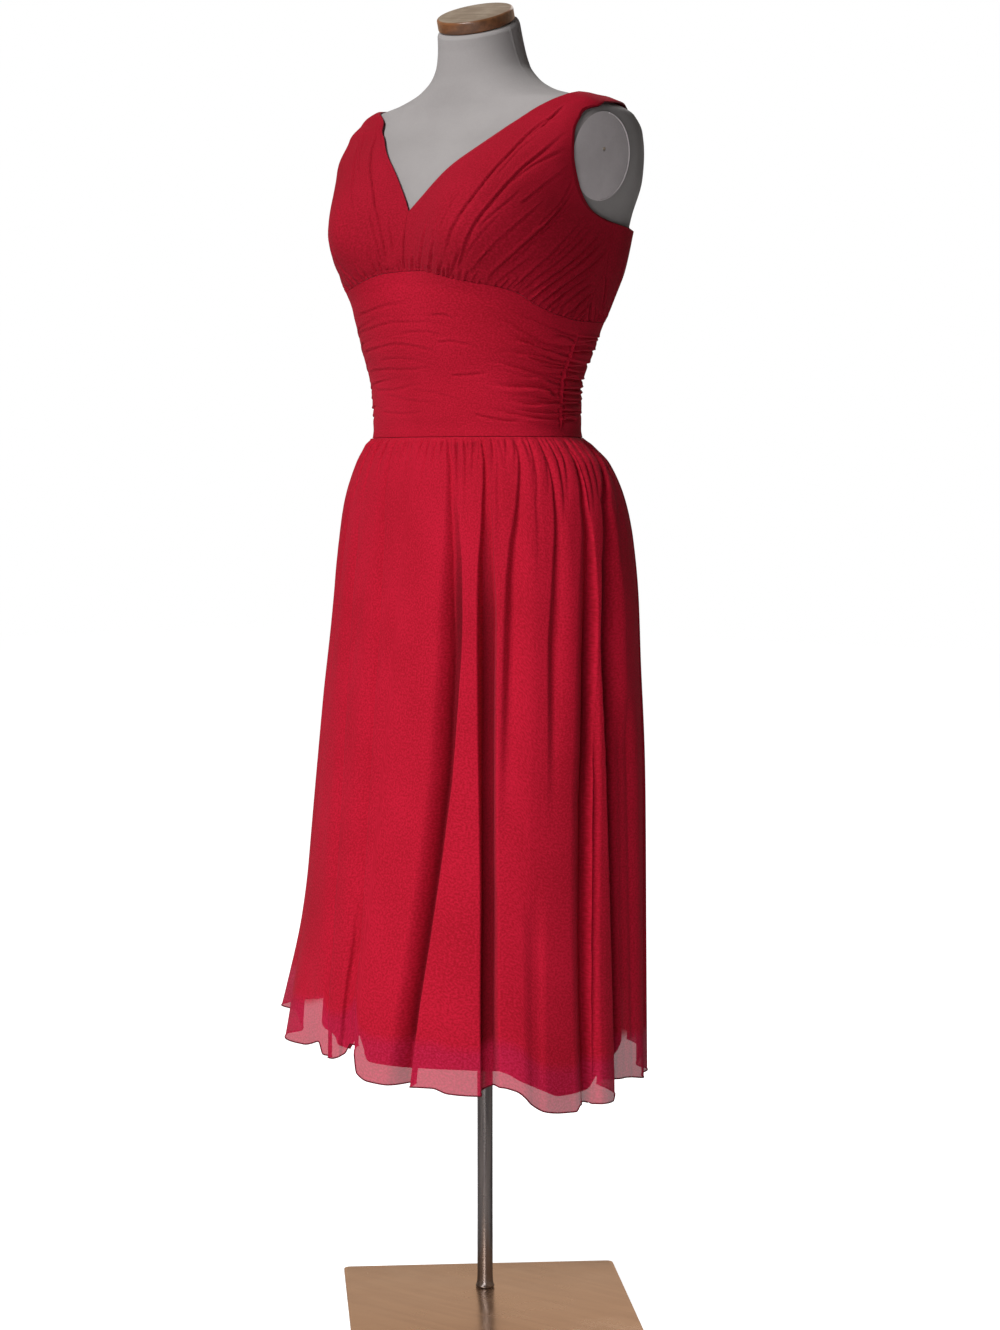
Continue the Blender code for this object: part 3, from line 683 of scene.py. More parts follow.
def toneBetween(tree, shader, factor, dark, light):
    mixed = node(tree, "ShaderNodeMix", data_type="RGBA")
    tree.links.new(factor, mixed.inputs["Factor"])
    mixed.inputs[6].default_value = (*dark, 1)
    mixed.inputs[7].default_value = (*light, 1)
    if shader:
        tree.links.new(mixed.outputs[2], shader.inputs["Base Color"])
    return mixed.outputs[2]


def blended(tree, factor, first, second):
    mixed = node(tree, "ShaderNodeMix", data_type="RGBA")
    tree.links.new(factor, mixed.inputs["Factor"])
    tree.links.new(first, mixed.inputs[6])
    tree.links.new(second, mixed.inputs[7])
    return mixed.outputs[2]


def bumpFrom(tree, shader, height, distance, strength=1.0):
    bump = node(tree, "ShaderNodeBump", {"Strength": strength, "Distance": distance})
    tree.links.new(height, bump.inputs["Height"])
    tree.links.new(bump.outputs["Normal"], shader.inputs["Normal"])


chiffonLook = {
    "dark": (0.36, 0.0035, 0.016),
    "light": (0.52, 0.0070, 0.031),
    "roughness": 0.84,
    "sheen": 0.05,
    "sheenTint": (1.0, 0.30, 0.40, 1.0),
    "threads": 620.0,
    "grain": 0.16 * mm,
    "sheerDark": (0.38, 0.005, 0.030),  # one layer on its own, below the lining, lets light through
    "sheerLight": (0.54, 0.012, 0.060),
    "paintedShadeFrom": 9 * mm,  # painted shade: cloth pressed in this far starts to be painted darker
    "paintedShadeTo": 34 * mm,  # and is darkest from here on
    "paintedShadeTone": 0.30,  # share of the tone left there, chosen
    "sheerAlpha": 0.90,
    "fullAlpha": 0.99,
}


def makeChiffon(name, tone=1.0, sheerBelow=None):
    # silk crepe chiffon; below sheerBelow, in metres above the hem, light comes through it
    look = chiffonLook
    made, tree, shader = newFinish(
        name, look["roughness"], specular=0.12, sheen=look["sheen"], sheenTint=look["sheenTint"]
    )
    weave = placed(tree, crepeWeave, cutPlace(tree), Threads=look["threads"], Twist=0.55)
    speckle = remap(tree, weave["Tone"], 0.36, 0.64, 0.0, 1.0)
    dark, light = (np.array(look[key]) * tone for key in ("dark", "light"))
    full = toneBetween(tree, shader, speckle, dark, light)
    bumpFrom(tree, shader, weave["Height"], look["grain"])
    if sheerBelow:
        # painted shade: the deeper the cloth lies in a fold or gather, the darker its colour is painted
        foldShadeDepth = node(tree, "ShaderNodeAttribute", attribute_name="foldShadeDepth", attribute_type="GEOMETRY")
        shade = remap(tree, foldShadeDepth.outputs["Fac"], look["paintedShadeFrom"], look["paintedShadeTo"], 0.0, 1.0)
        deep = toneBetween(tree, None, speckle, dark * look["paintedShadeTone"], light * look["paintedShadeTone"])
        folded = blended(tree, shade, full, deep)
        apart = node(tree, "ShaderNodeSeparateXYZ")
        tree.links.new(cutPlace(tree), apart.inputs[0])
        lined = remap(tree, apart.outputs["Y"], sheerBelow, sheerBelow + 0.02, 0.0, 1.0)
        sheer = toneBetween(tree, None, speckle, look["sheerDark"], look["sheerLight"])
        tree.links.new(blended(tree, lined, sheer, folded), shader.inputs["Base Color"])
        opacity = remap(tree, lined, 0.0, 1.0, look["sheerAlpha"], look["fullAlpha"])
        tree.links.new(opacity, shader.inputs["Alpha"])
    return made


liningLook = {"dark": (0.34, 0.0035, 0.016), "light": (0.50, 0.007, 0.030), "roughness": 0.55}


def makeLiningFinish():
    look = liningLook
    made, tree, shader = newFinish("liningPoly", look["roughness"], specular=0.3)
    weave = placed(tree, crepeWeave, cutPlace(tree), Threads=1100.0, Twist=0.3)
    toneBetween(tree, shader, remap(tree, weave["Tone"], 0.36, 0.64, 0.0, 1.0), look["dark"], look["light"])
    bumpFrom(tree, shader, weave["Height"], 0.05 * mm)
    return made


edgeShadeLook = {"dark": (0.085, 0.0016, 0.008), "light": (0.17, 0.003, 0.017)}


def makeEdgeFinish():
    # dark turned edge: partly several layers turned and stitched down, so the colour lies deeper, partly
    # painted shade along the edge
    made, tree, shader = newFinish("shadedTurnedEdge", 0.75, specular=0.2)
    weave = placed(tree, crepeWeave, cutPlace(tree), Threads=900.0, Twist=0.4)
    toneBetween(tree, shader, weave["Tone"], edgeShadeLook["dark"], edgeShadeLook["light"])
    bumpFrom(tree, shader, weave["Height"], 0.12 * mm)
    return made


coverLook = {"dark": (0.325, 0.303, 0.300), "light": (0.390, 0.366, 0.362), "knit": 900.0}


def makeCoverFinish(name, dark, light, clouds):
    # stretched knit cover over the form's padding
    made, tree, shader = newFinish(name, 0.92, specular=0.18, sheen=0.1)
    place = objectPlace(tree)
    weave = placed(tree, crepeWeave, place, Threads=coverLook["knit"], Twist=0.45)
    wear = placed(tree, softWear, place, Size=clouds, Spread=0.5)
    tone = arithmetic(
        tree, "ADD", arithmetic(tree, "MULTIPLY", weave["Tone"], 0.55),
        arithmetic(tree, "MULTIPLY", wear["Clouds"], 0.45)
    )
    toneBetween(tree, shader, tone, dark, light)
    bumpFrom(tree, shader, weave["Height"], 0.14 * mm)
    return made


woodLook = {
    "dark": (0.105, 0.040, 0.014), "light": (0.225, 0.085, 0.030), "topDark": (0.17, 0.135, 0.10),
    "topLight": (0.30, 0.25, 0.195)
}


def makeWoodFinish(name, dark, light, roughness, coat):
    # turned and lacquered wood, its grain running across the cap
    made, tree, shader = newFinish(name, roughness, specular=0.4, coat=coat)
    place = objectPlace(tree)
    grain = noise(tree, stretched(tree, place, (18.0, 160.0, 160.0)), 1.0, 6.0, 0.6)
    wear = placed(tree, softWear, place, Size=60.0, Spread=0.55)
    tone = arithmetic(
        tree, "ADD", arithmetic(tree, "MULTIPLY", grain, 0.8),
        arithmetic(tree, "MULTIPLY", wear["Clouds"], 0.2)
    )
    toneBetween(tree, shader, remap(tree, tone, 0.3, 0.7, 0.0, 1.0), dark, light)
    bumpFrom(tree, shader, grain, 0.08 * mm)
    return made


# painted reflection: the plate's steel is painted tan for the warm surroundings it reflects, and the pole's
# painted dark for the dark surroundings it reflects
steelLook = {
    "plateDark": (0.65, 0.49, 0.38), "plateLight": (0.71, 0.54, 0.415), "poleDark": (0.10, 0.088, 0.088),
    "poleLight": (0.20, 0.175, 0.167)
}


def makeSteelFinish(name, dark, light, roughness, stretch, lines):
    # brushed steel, smudged a little where it is handled
    made, tree, shader = newFinish(name, roughness, metallic=1.0)
    place = objectPlace(tree)
    brushed = placed(tree, brushing, stretched(tree, place, stretch), Lines=lines)
    wear = placed(tree, softWear, place, Size=14.0, Spread=0.5)
    toneBetween(tree, shader, remap(tree, brushed["Streaks"], 0.35, 0.65, 0.0, 1.0), dark, light)
    rough = arithmetic(tree, "ADD", arithmetic(tree, "MULTIPLY", wear["Clouds"], 0.10), roughness - 0.05)
    tree.links.new(
        arithmetic(tree, "ADD", rough, arithmetic(tree, "MULTIPLY", brushed["Streaks"], 0.08)),
        shader.inputs["Roughness"]
    )
    bumpFrom(tree, shader, brushed["Height"], 0.03 * mm, 0.6)
    return made


# Base plate, pole and form

capWood = makeWoodFinish("capRimWood", woodLook["dark"], woodLook["light"], 0.32, 0.35)
# painted light: the cap's top is the rim's wood painted paler and greyer, for the light it catches
capTopWoodPaintedLight = makeWoodFinish("capTopWoodPaintedLight", woodLook["topDark"], woodLook["topLight"], 0.45, 0.15)
coverKnit = makeCoverFinish("coverKnit", coverLook["dark"], coverLook["light"], 9.0)
# painted light: the arm pads wear the cover's knit painted far lighter, for light on their sides
armKnitPaintedLight = makeCoverFinish("armKnitPaintedLight", (0.56, 0.51, 0.52), (0.68, 0.62, 0.63), 30.0)
plateSteelPaintedReflection = makeSteelFinish(
    "plateSteelPaintedReflection", steelLook["plateDark"], steelLook["plateLight"], 0.19, (0.08, 1.0, 1.0), 700.0
)
poleSteelPaintedReflection = makeSteelFinish(
    "poleSteelPaintedReflection", steelLook["poleDark"], steelLook["poleLight"], 0.24, (1.0, 1.0, 0.05), 900.0
)
screwSteel = makeSteelFinish(
    "screwSteel", (0.30, 0.29, 0.28), (0.45, 0.44, 0.43), 0.35, (1.0, 1.0, 1.0), 900.0
)

base = {
    "side": 33.9 * cm, "thickness": 6 * mm, "corner": 8 * mm, "turn": math.radians(45),
    "poleFromBack": 10.4 * cm, "bevel": 1.2 * mm
}
pole = {"radius": 9.4 * mm, "footRadius": 11.5 * mm, "footHeight": 9 * mm, "gap": 0.3 * mm}


def roundedSquare(half, corner, steps=10):
    # outline of the plate, anticlockwise, each corner an arc
    points = []
    for quarter, (signX, signY) in enumerate(((1, 1), (-1, 1), (-1, -1), (1, -1))):
        for angle in np.radians(90 * quarter + 90 * np.arange(steps + 1) / steps):
            points.append(
                (
                    signX * (half - corner) + corner * math.cos(angle),
                    signY * (half - corner) + corner * math.sin(angle)
                )
            )
    return np.array(points)


def makeBasePlate():
    bevel, thick = base["bevel"], base["thickness"]
    half = base["side"] / 2
    arc = np.radians((0, 30, 60, 90))
    profile = [(bevel * (1 - math.sin(a)), bevel * (1 - math.cos(a))) for a in arc]
    profile += [(bevel * (1 - math.cos(a)), thick - bevel * (1 - math.sin(a))) for a in arc]
    turnX, turnY = math.cos(base["turn"]), math.sin(base["turn"])
    rings = []
    for inset, height in profile:
        outline = roundedSquare(half - inset, base["corner"] - inset) + (0.0, base["poleFromBack"] - half)
        x, y = outline.T
        rings.append(
            np.stack([x * turnX - y * turnY, x * turnY + y * turnX, np.full(len(x), height)], axis=-1)
        )
    count = len(rings[0])
    last = (len(rings) - 1) * count
    groups = [gridFaces(len(rings), count, True), [np.arange(count)[::-1]], [last + np.arange(count)]]
    plate = addMesh("base_plate_steel", np.concatenate(rings), groups, [plateSteelPaintedReflection], sharp=35)
    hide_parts("base_plate")
    return plate


def makePole():
    bottom = base["thickness"] + pole["gap"]
    foot, radius, tall = pole["footRadius"], pole["radius"], pole["footHeight"]
    ease = 0.8 * mm
    profile = [(foot - ease, bottom), (foot, bottom + ease), (foot, bottom + tall * 0.25)]
    for share in (0.3, 0.4, 0.55, 0.75, 1.0, 1.5, 2.2, 3.2, 4.5, 6.0):  # the foot runs out slowly up the pole
        profile.append(
            (radius + (foot - radius) * math.exp(-2.2 * (share - 0.25) ** 0.8), bottom + tall * share)
        )
    profile.append((radius, bottom + tall * 8))
    profile.append((radius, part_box("pole")[1].z))
    made = lathe("pole_steel", profile, [poleSteelPaintedReflection], sides=64)
    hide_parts("pole")
    return made


form = {
    "bottom": 70.0 * cm,
    "top": 152.9 * cm,
    "neckTilt": math.radians(23.5),
    "neckTurn": math.radians(15),  # which way the cut leans, from the front towards the wearer's left
    "neckTiltStart": 148.0 * cm,
    "armCut": 17.5 * cm,
    "armHeight": 136.3 * cm,
    "armTilt": math.radians(8),
    "armMiddle": 0.2 * cm,
    "armHalfDepth": 5.2 * cm,
    "armHalfHeight": 5.1 * cm,
    "armThickness": 2.2 * mm,
    "socketDepth": 9 * cm,
    "neckEase": 8 * mm,
    "columns": 240,
    "seamHeight": 0.55 * mm,
    "seamWidth": 1.3 * mm,
    "capRadius": 46 * mm,
    "capThickness": 15 * mm,
    "capForward": 2 * mm,
    "capEase": 2.4 * mm,
}


def neckMiddle():
    row = curveAt(formSections, "height", form["top"] / cm)
    return (row[2] + row[3]) / 2 * cm


def neckCut(points):
    # leans the top of the neck into its sloping cut
    share = np.maximum(0.0, points[..., 2] - form["neckTiltStart"]) / (form["top"] - form["neckTiltStart"])
    neckTurn = form["neckTurn"]
    behind = (points[..., 1] - neckMiddle()) * math.cos(neckTurn) - points[..., 0] * math.sin(neckTurn)
    lifted = points.copy()
    lifted[..., 2] += share * behind * math.tan(form["neckTilt"])
    return lifted


def makeTorso():
    crown = 152.9 - 0.9 * np.cos(np.radians(np.arange(6, 91, 12)))
    heights = np.concatenate([np.linspace(70.0, 126.0, 44), np.linspace(126.6, 151.9, 114), crown]) * cm
    angles = 2 * np.pi * np.arange(form["columns"]) / form["columns"]
    angle, height = np.meshgrid(angles, heights)
    points = formPoint(angle, height)
    normals = surfaceNormal(formPoint, angle, height)
    for seam in (0.0, math.pi, math.pi / 2):  # sides and centre back of the cover
        turned = np.abs((angle - seam + np.pi) % (2 * np.pi) - np.pi)
        apart = turned * np.hypot(points[..., 0], points[..., 1])
        points += normals * (form["seamHeight"] * np.exp(-((apart / form["seamWidth"]) ** 2)))[..., None]
    limit = form["armCut"] + (height - form["armHeight"]) * math.tan(form["armTilt"])
    soft = 0.9 * mm
    reach = np.abs(points[..., 0])
    cut = limit - soft * np.logaddexp(0.0, (limit - reach) / soft)
    points[..., 0] = np.sign(points[..., 0]) * np.where(reach > limit - 8 * soft, cut, reach)
    # the neck's top edge is rounded off
    below = np.maximum(0.0, 1 - (form["top"] - heights) / form["neckEase"])
    middle = np.array([0.0, neckMiddle()])
    shrink = form["neckEase"] * 0.6 * (1 - np.sqrt(np.maximum(0.0, 1 - below**2)))[:, None, None]
    away = points[..., :2] - middle
    points[..., :2] -= shrink * unit(away)
    points = neckCut(points)
    ease = 3 * mm
    points[0, :, :2] *= 1 - ease / np.linalg.norm(points[0, :, :2], axis=1, keepdims=True)
    hole = pole["radius"] + pole["gap"]
    rings = []
    for height in (form["bottom"] + form["socketDepth"], form["bottom"]):
        rings.append(
            np.stack([hole * np.cos(angles), hole * np.sin(angles), np.full(len(angles), height)], axis=-1)
        )
    rings = np.concatenate([np.array(rings), points])
    count = len(angles)
    last = (len(rings) - 1) * count
    groups = [gridFaces(len(rings), count, True), [np.arange(count)[::-1]], [last + np.arange(count)]]
    torso = addMesh("torso_cover", rings.reshape(-1, 3), groups, [coverKnit])
    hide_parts("form_torso")
    return torso


def makeNeckCap():
    # a turned disc with rounded edges and a low dome on top, square to the neck's sloping cut
    radius, thick, ease = form["capRadius"], form["capThickness"], form["capEase"]
    gap = pole["gap"]
    arc = np.radians((0, 18, 36, 54, 72, 90))
    profile = [(radius * 0.3, gap), (radius - ease, gap)]
    profile += [(radius - ease * (1 - math.sin(a)), gap + ease * (1 - math.cos(a))) for a in arc[1:]]
    profile += [(radius - ease * (1 - math.cos(a)), thick - ease * (1 - math.sin(a))) for a in arc]
    rimRows = len(profile) - 1
    for share in (0.9, 0.75, 0.55, 0.3, 0.1):
        profile.append(((radius - ease) * share, thick + 0.5 * mm * (1 - share**2)))
    sides = 96
    turn = 2 * np.pi * np.arange(sides) / sides
    size, rise = np.array(profile).T
    tilt, lean = form["neckTilt"], form["neckTurn"]
    seat = neckCut(np.array([0.0, neckMiddle() - form["capForward"], form["top"]]))
    leftward = np.array([math.cos(lean), math.sin(lean), 0.0])
    backward = np.array([-math.sin(lean) * math.cos(tilt), math.cos(lean) * math.cos(tilt), math.sin(tilt)])
    upward = np.cross(leftward, backward)
    across = (size[:, None] * np.cos(turn))[..., None] * leftward
    along = (size[:, None] * np.sin(turn))[..., None] * backward
    points = seat + across + along + rise[:, None, None] * upward
    faces = gridFaces(len(profile), sides, True)
    last = (len(profile) - 1) * sides
    groups = [
        faces[: rimRows * sides], [np.arange(sides)[::-1]], faces[rimRows * sides :],
        [last + np.arange(sides)]
    ]
    cap = addMesh(
        "neck_cap_turned", points.reshape(-1, 3), groups, [capWood, capTopWoodPaintedLight], lookOfGroup=[0, 0, 1, 1],
        sharp=40
    )
    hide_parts("neck_cap")
    return cap


def armFrame(side):
    tilt = form["armTilt"]
    outward = np.array([side * math.cos(tilt), 0.0, -math.sin(tilt)])
    upward = np.array([side * math.sin(tilt), 0.0, math.cos(tilt)])
    middle = np.array([side * form["armCut"], form["armMiddle"], form["armHeight"]])
    return middle, outward, upward


def makeArmPlate(side, label):
    # a flat oval under the knit cover, with the screw that holds it
    middle, outward, upward = armFrame(side)
    backward = np.array([0.0, 1.0, 0.0])
    gap, thick = pole["gap"], form["armThickness"]
    profile = [
        (0.3, gap), (0.995, gap), (1.0, gap + 0.05 * thick), (0.985, gap + 0.12 * thick), (0.96, 0.33 * thick)
    ]
    profile += [
        (0.9, 0.52 * thick), (0.8, 0.78 * thick), (0.6, 1.1 * thick), (0.35, thick * 1.3),
        (0.08, thick * 1.35)
    ]
    turn = side * 2 * np.pi * np.arange(90) / 90
    size, rise = np.array(profile).T
    depth = (size[:, None] * np.cos(turn))[..., None] * backward * form["armHalfDepth"]
    climb = (size[:, None] * np.sin(turn))[..., None] * upward * form["armHalfHeight"]
    points = middle + depth + climb + rise[:, None, None] * outward
    last = (len(profile) - 1) * len(turn)
    groups = [
        gridFaces(len(profile), len(turn), True), [np.arange(len(turn))[::-1]], [last + np.arange(len(turn))]
    ]
    plate = addMesh("arm_pad_" + label, points.reshape(-1, 3), groups, [armKnitPaintedLight], sharp=50)
    outwardFaces(plate)
    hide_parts("arm_plate_" + label)
    line = np.roll(points[3], 45, axis=0)[24:67]  # the cover's seam stands up along the back half only
    seam = tube(
        "arm_seam_" + label, line, unit(line - middle), np.broadcast_to(outward, line.shape), 1.7 * mm,
        2.0 * mm, [armKnitPaintedLight], False
    )
    screw = makeScrew(
        "arm_screw_" + label, middle + outward * thick * 1.36 + upward * 0.8 * cm, outward, upward
    )
    return [plate, seam, screw]


def makeScrew(name, place, outward, upward):
    # low round head with a slot across it
    radius, sides = 2.6 * mm, 32
    profile = [
        (radius, -0.4 * mm), (radius, 0.2 * mm), (radius * 0.92, 0.55 * mm), (radius * 0.7, 0.85 * mm),
        (radius * 0.35, 1.0 * mm)
    ]
    across = np.cross(upward, outward)
    turn = 2 * np.pi * np.arange(sides) / sides
    size, rise = np.array(profile).T
    sideways = (size[:, None] * np.cos(turn))[..., None] * across
    points = place + sideways + (size[:, None] * np.sin(turn))[..., None] * upward
    points = points + rise[:, None, None] * outward
    slot = np.abs(np.sin(turn)) * radius < 0.35 * mm
    points[2:, slot] -= 0.45 * mm * outward
    last = (len(profile) - 1) * sides
    groups = [gridFaces(len(profile), sides, True), [np.arange(sides)[::-1]], [last + np.arange(sides)]]
    screw = addMesh(name, points.reshape(-1, 3), groups, [screwSteel], sharp=40)
    outwardFaces(screw)
    return screw


standPieces = [makeBasePlate(), makePole(), makeTorso(), makeNeckCap()]
for side, label in ((1, "left"), (-1, "right")):
    standPieces += makeArmPlate(side, label)
print("stand and form made:", len(standPieces), "pieces")


# Creases: each is drawn on the cloth, as places (u, v) on its panel

Crease = namedtuple("Crease", "depth width path")


def smoothPath(path, count):
    # evenly spaced places on a smooth line through the given ones
    path = np.array(path, float)
    if len(path) == 2:
        return path[0] + (path[1] - path[0]) * np.linspace(0, 1, count)[:, None]
    padded = np.vstack([2 * path[0] - path[1], path, 2 * path[-1] - path[-2]])
    places = np.linspace(0, len(path) - 1, count)
    at = np.minimum(places.astype(int), len(path) - 2)
    s = (places - at)[:, None]
    a, b, c, d = (padded[at + i] for i in range(4))
    return 0.5 * (2 * b + (c - a) * s + (2 * a - 5 * b + 4 * c - d) * s**2 + (3 * b - a - 3 * c + d) * s**3)


def pressedIn(points, creases, place, mirror=False):
    # relief of the creases in metres: each a narrow trough, steep on its left and gentle on its right
    relief = np.zeros(points.shape[:-1])
    flat = points.reshape(-1, 3)
    for crease in creases:
        u, v = smoothPath(crease.path, 48).T
        line, lineNormal = place(u, v)
        if mirror:
            line, lineNormal = line * (-1, 1, 1), lineNormal * (-1, 1, 1)
        width = crease.width * mm
        low, high = line.min(0) - 5 * width, line.max(0) + 5 * width
        near = np.flatnonzero(((flat > low) & (flat < high)).all(1))
        if not len(near):
            continue
        tangent = unit(np.gradient(line, axis=0))
        sideways = unit(np.cross(lineNormal, tangent))
        away = flat[near][:, None] - line[None]
        nearest = (away**2).sum(-1).argmin(1)
        gone = away[np.arange(len(near)), nearest]
        apart = (gone * sideways[nearest]).sum(1)
        step = np.linalg.norm(line[1:] - line[:-1], axis=1).mean()
        along = (nearest + (gone * tangent[nearest]).sum(1) / step) / (len(line) - 1)
        taper = smoothStep((along + 0.02) / 0.10) * smoothStep((1.02 - along) / 0.35)
        steep, gentle = 0.75 * width, 1.7 * width
        trough = -np.exp(-((np.abs(apart) / np.where(apart > 0, steep, gentle)) ** 1.4))
        trough += 0.45 * np.exp(-(((apart - 2.0 * width) / (1.3 * width)) ** 2))
        relief.reshape(-1)[near] += crease.depth * mm * taper * trough
    return relief


bodice = {
    "rows": 154,
    "columns": 184,
    "inside": 0.9 * mm,  # of the panel's middle
    "outside": 0.8 * mm,
    "puff": 1.6 * mm,  # how far the gathered cloth stands off, away from its edges
    "deepest": 1.2 * mm,  # below the panel's middle line outside, in a crease
    "strength": 1.3,
    "gathers": 34,  # short ones along the empire seam of each panel
    "longestGather": 2.6,  # in centimetres
    "seed": 7,
    "evenFrom": 0.82,  # from this share of the rows up, the neckline is evened out
    "evenSteps": 22,
}
# Creases of the bodice: degrees from the centre front to the side, and heights in centimetres
cupLeft = [
    Crease(
        1.6, 1.4,
        (
            (26.5, 125.0), (31.5, 128.0), (38.0, 131.6), (47.0, 135.0), (57.5, 138.0), (68.0, 140.2),
            (74.5, 141.4)
        )
    ),
    Crease(
        1.7, 1.4,
        (
            (30.3, 123.0), (34.3, 125.6), (39.6, 129.0), (45.0, 131.7), (53.5, 134.5), (63.0, 136.9),
            (70.0, 138.5)
        )
    ),
    Crease(1.1, 1.1, ((48.0, 132.6), (54.5, 134.3), (61.5, 135.7), (68.8, 136.7))),
    Crease(1.0, 1.1, ((50.0, 130.2), (55.5, 131.9), (62.0, 133.5), (69.0, 135.0))),
    Crease(
        2.1, 1.5, ((41.5, 122.0), (47.3, 124.0), (53.0, 125.8), (58.5, 127.7), (64.0, 130.3), (69.3, 132.7))
    ),
    Crease(1.3, 1.2, ((49.0, 123.8), (55.0, 125.7), (60.0, 127.6), (69.5, 131.7))),
    Crease(1.6, 1.3, ((51.3, 120.8), (58.0, 123.2), (64.2, 125.5), (76.0, 130.0))),
    Crease(1.6, 1.3, ((54.3, 120.3), (60.5, 122.4), (67.0, 124.5), (74.5, 126.9), (81.5, 129.0))),
    Crease(1.8, 1.3, ((57.4, 119.9), (64.0, 122.0), (71.5, 124.2), (79.2, 126.5), (85.5, 128.4))),
    Crease(1.7, 1.3, ((60.4, 119.6), (68.7, 122.3), (78.2, 125.0), (87.3, 127.5))),
    Crease(1.7, 1.3, ((64.2, 119.3), (73.0, 121.7), (82.0, 124.1), (90.0, 126.4))),
    Crease(1.6, 1.2, ((68.1, 119.1), (76.5, 121.2), (85.5, 123.5))),
    Crease(1.6, 1.2, ((73.9, 118.9), (81.3, 120.8), (87.6, 122.4))),
    Crease(1.7, 1.2, ((80.5, 118.3), (85.0, 119.8), (90.0, 121.2))),
    Crease(1.3, 1.2, ((35.0, 122.7), (38.8, 124.1), (42.8, 125.5))),
    Crease(1.7, 1.4, ((9.0, 123.3), (12.2, 125.5), (17.5, 128.9))),
    Crease(1.3, 1.2, ((15.3, 123.2), (18.9, 125.2), (23.0, 127.0))),
    Crease(1.2, 1.1, ((4.3, 123.1), (5.5, 124.9))),
    Crease(1.4, 1.1, ((20.0, 122.6), (24.4, 124.3))),
    Crease(1.5, 1.2, ((26.0, 122.3), (33.2, 125.7))),
    Crease(0.9, 1.6, ((25.2, 127.5), (28.2, 129.5), (35.6, 133.5))),
    Crease(0.9, 1.1, ((61.5, 138.6), (67.8, 140.2), (74.4, 141.5))),
    Crease(1.0, 1.1, ((37.8, 123.8), (45.0, 126.2), (52.1, 128.7), (58.7, 131.3))),
    Crease(1.2, 1.1, ((44.7, 121.5), (52.0, 123.5), (58.5, 125.3))),
    Crease(0.8, 1.0, ((57.0, 127.9), (63.5, 130.9), (69.0, 133.8))),
    Crease(0.7, 1.1, ((43.5, 133.0), (52.0, 136.0), (61.0, 138.0))),
    Crease(0.7, 1.0, ((55.0, 137.2), (64.5, 139.3), (71.5, 140.2))),
    Crease(0.9, 1.0, ((62.5, 123.9), (70.0, 126.5), (78.5, 129.4))),
    Crease(0.9, 1.0, ((66.0, 121.3), (75.0, 123.9), (84.0, 126.6))),
    Crease(0.9, 1.0, ((71.0, 120.4), (79.0, 122.7), (88.0, 125.0))),
    Crease(0.7, 1.2, ((38.0, 127.2), (45.0, 129.9), (51.0, 132.1))),
    Crease(0.7, 1.1, ((20.5, 126.5), (26.0, 129.5), (32.0, 132.4))),
    Crease(0.7, 1.0, ((33.0, 124.2), (40.0, 127.0), (46.0, 129.6))),
]
cupRight = [
    Crease(1.7, 1.4, ((0.7, 123.2), (0.3, 125.8), (0.2, 128.4))),
    Crease(1.3, 1.2, ((5.3, 125.4), (6.7, 127.3), (9.5, 129.3))),
    Crease(
        1.5, 1.4,
        (
            (8.4, 124.2), (10.2, 127.0), (14.2, 130.0), (20.8, 132.8), (33.4, 136.0), (50.7, 139.3),
            (66.4, 142.1)
        )
    ),
    Crease(1.2, 1.1, ((10.6, 124.1), (12.6, 126.5), (15.3, 128.8), (18.3, 131.1))),
    Crease(1.1, 1.2, ((14.7, 123.3), (16.9, 126.3))),
    Crease(1.0, 1.7, ((22.9, 130.2), (29.3, 132.5), (39.2, 135.3), (54.0, 138.4), (75.8, 141.7))),
    Crease(0.9, 1.6, ((32.8, 134.6), (50.2, 138.0), (65.3, 140.7))),
    Crease(1.0, 1.4, ((26.8, 128.6), (30.6, 130.3), (36.4, 132.0))),
    Crease(0.9, 1.2, ((21.8, 123.2), (22.9, 124.8))),
    Crease(1.5, 1.3, ((41.0, 122.0), (53.0, 125.9), (63.5, 130.2), (69.0, 132.8))),
    Crease(1.4, 1.2, ((51.0, 120.7), (64.0, 125.3), (76.5, 129.9))),
    Crease(1.6, 1.2, ((57.0, 119.9), (71.0, 124.3), (84.8, 128.4))),
    Crease(1.5, 1.2, ((62.5, 119.4), (75.5, 123.3), (89.5, 127.2))),
    Crease(1.5, 1.1, ((70.0, 119.0), (80.0, 121.9), (90.0, 124.4))),
    Crease(1.3, 1.1, ((76.0, 118.7), (84.0, 120.9), (90.0, 122.4))),
    Crease(1.2, 1.2, ((35.5, 122.7), (43.5, 126.0), (50.0, 129.6))),
    Crease(1.0, 1.1, ((46.5, 131.8), (57.5, 134.3), (69.5, 136.0))),
    Crease(1.2, 1.2, ((30.5, 123.2), (35.0, 126.1), (40.2, 129.3))),
]
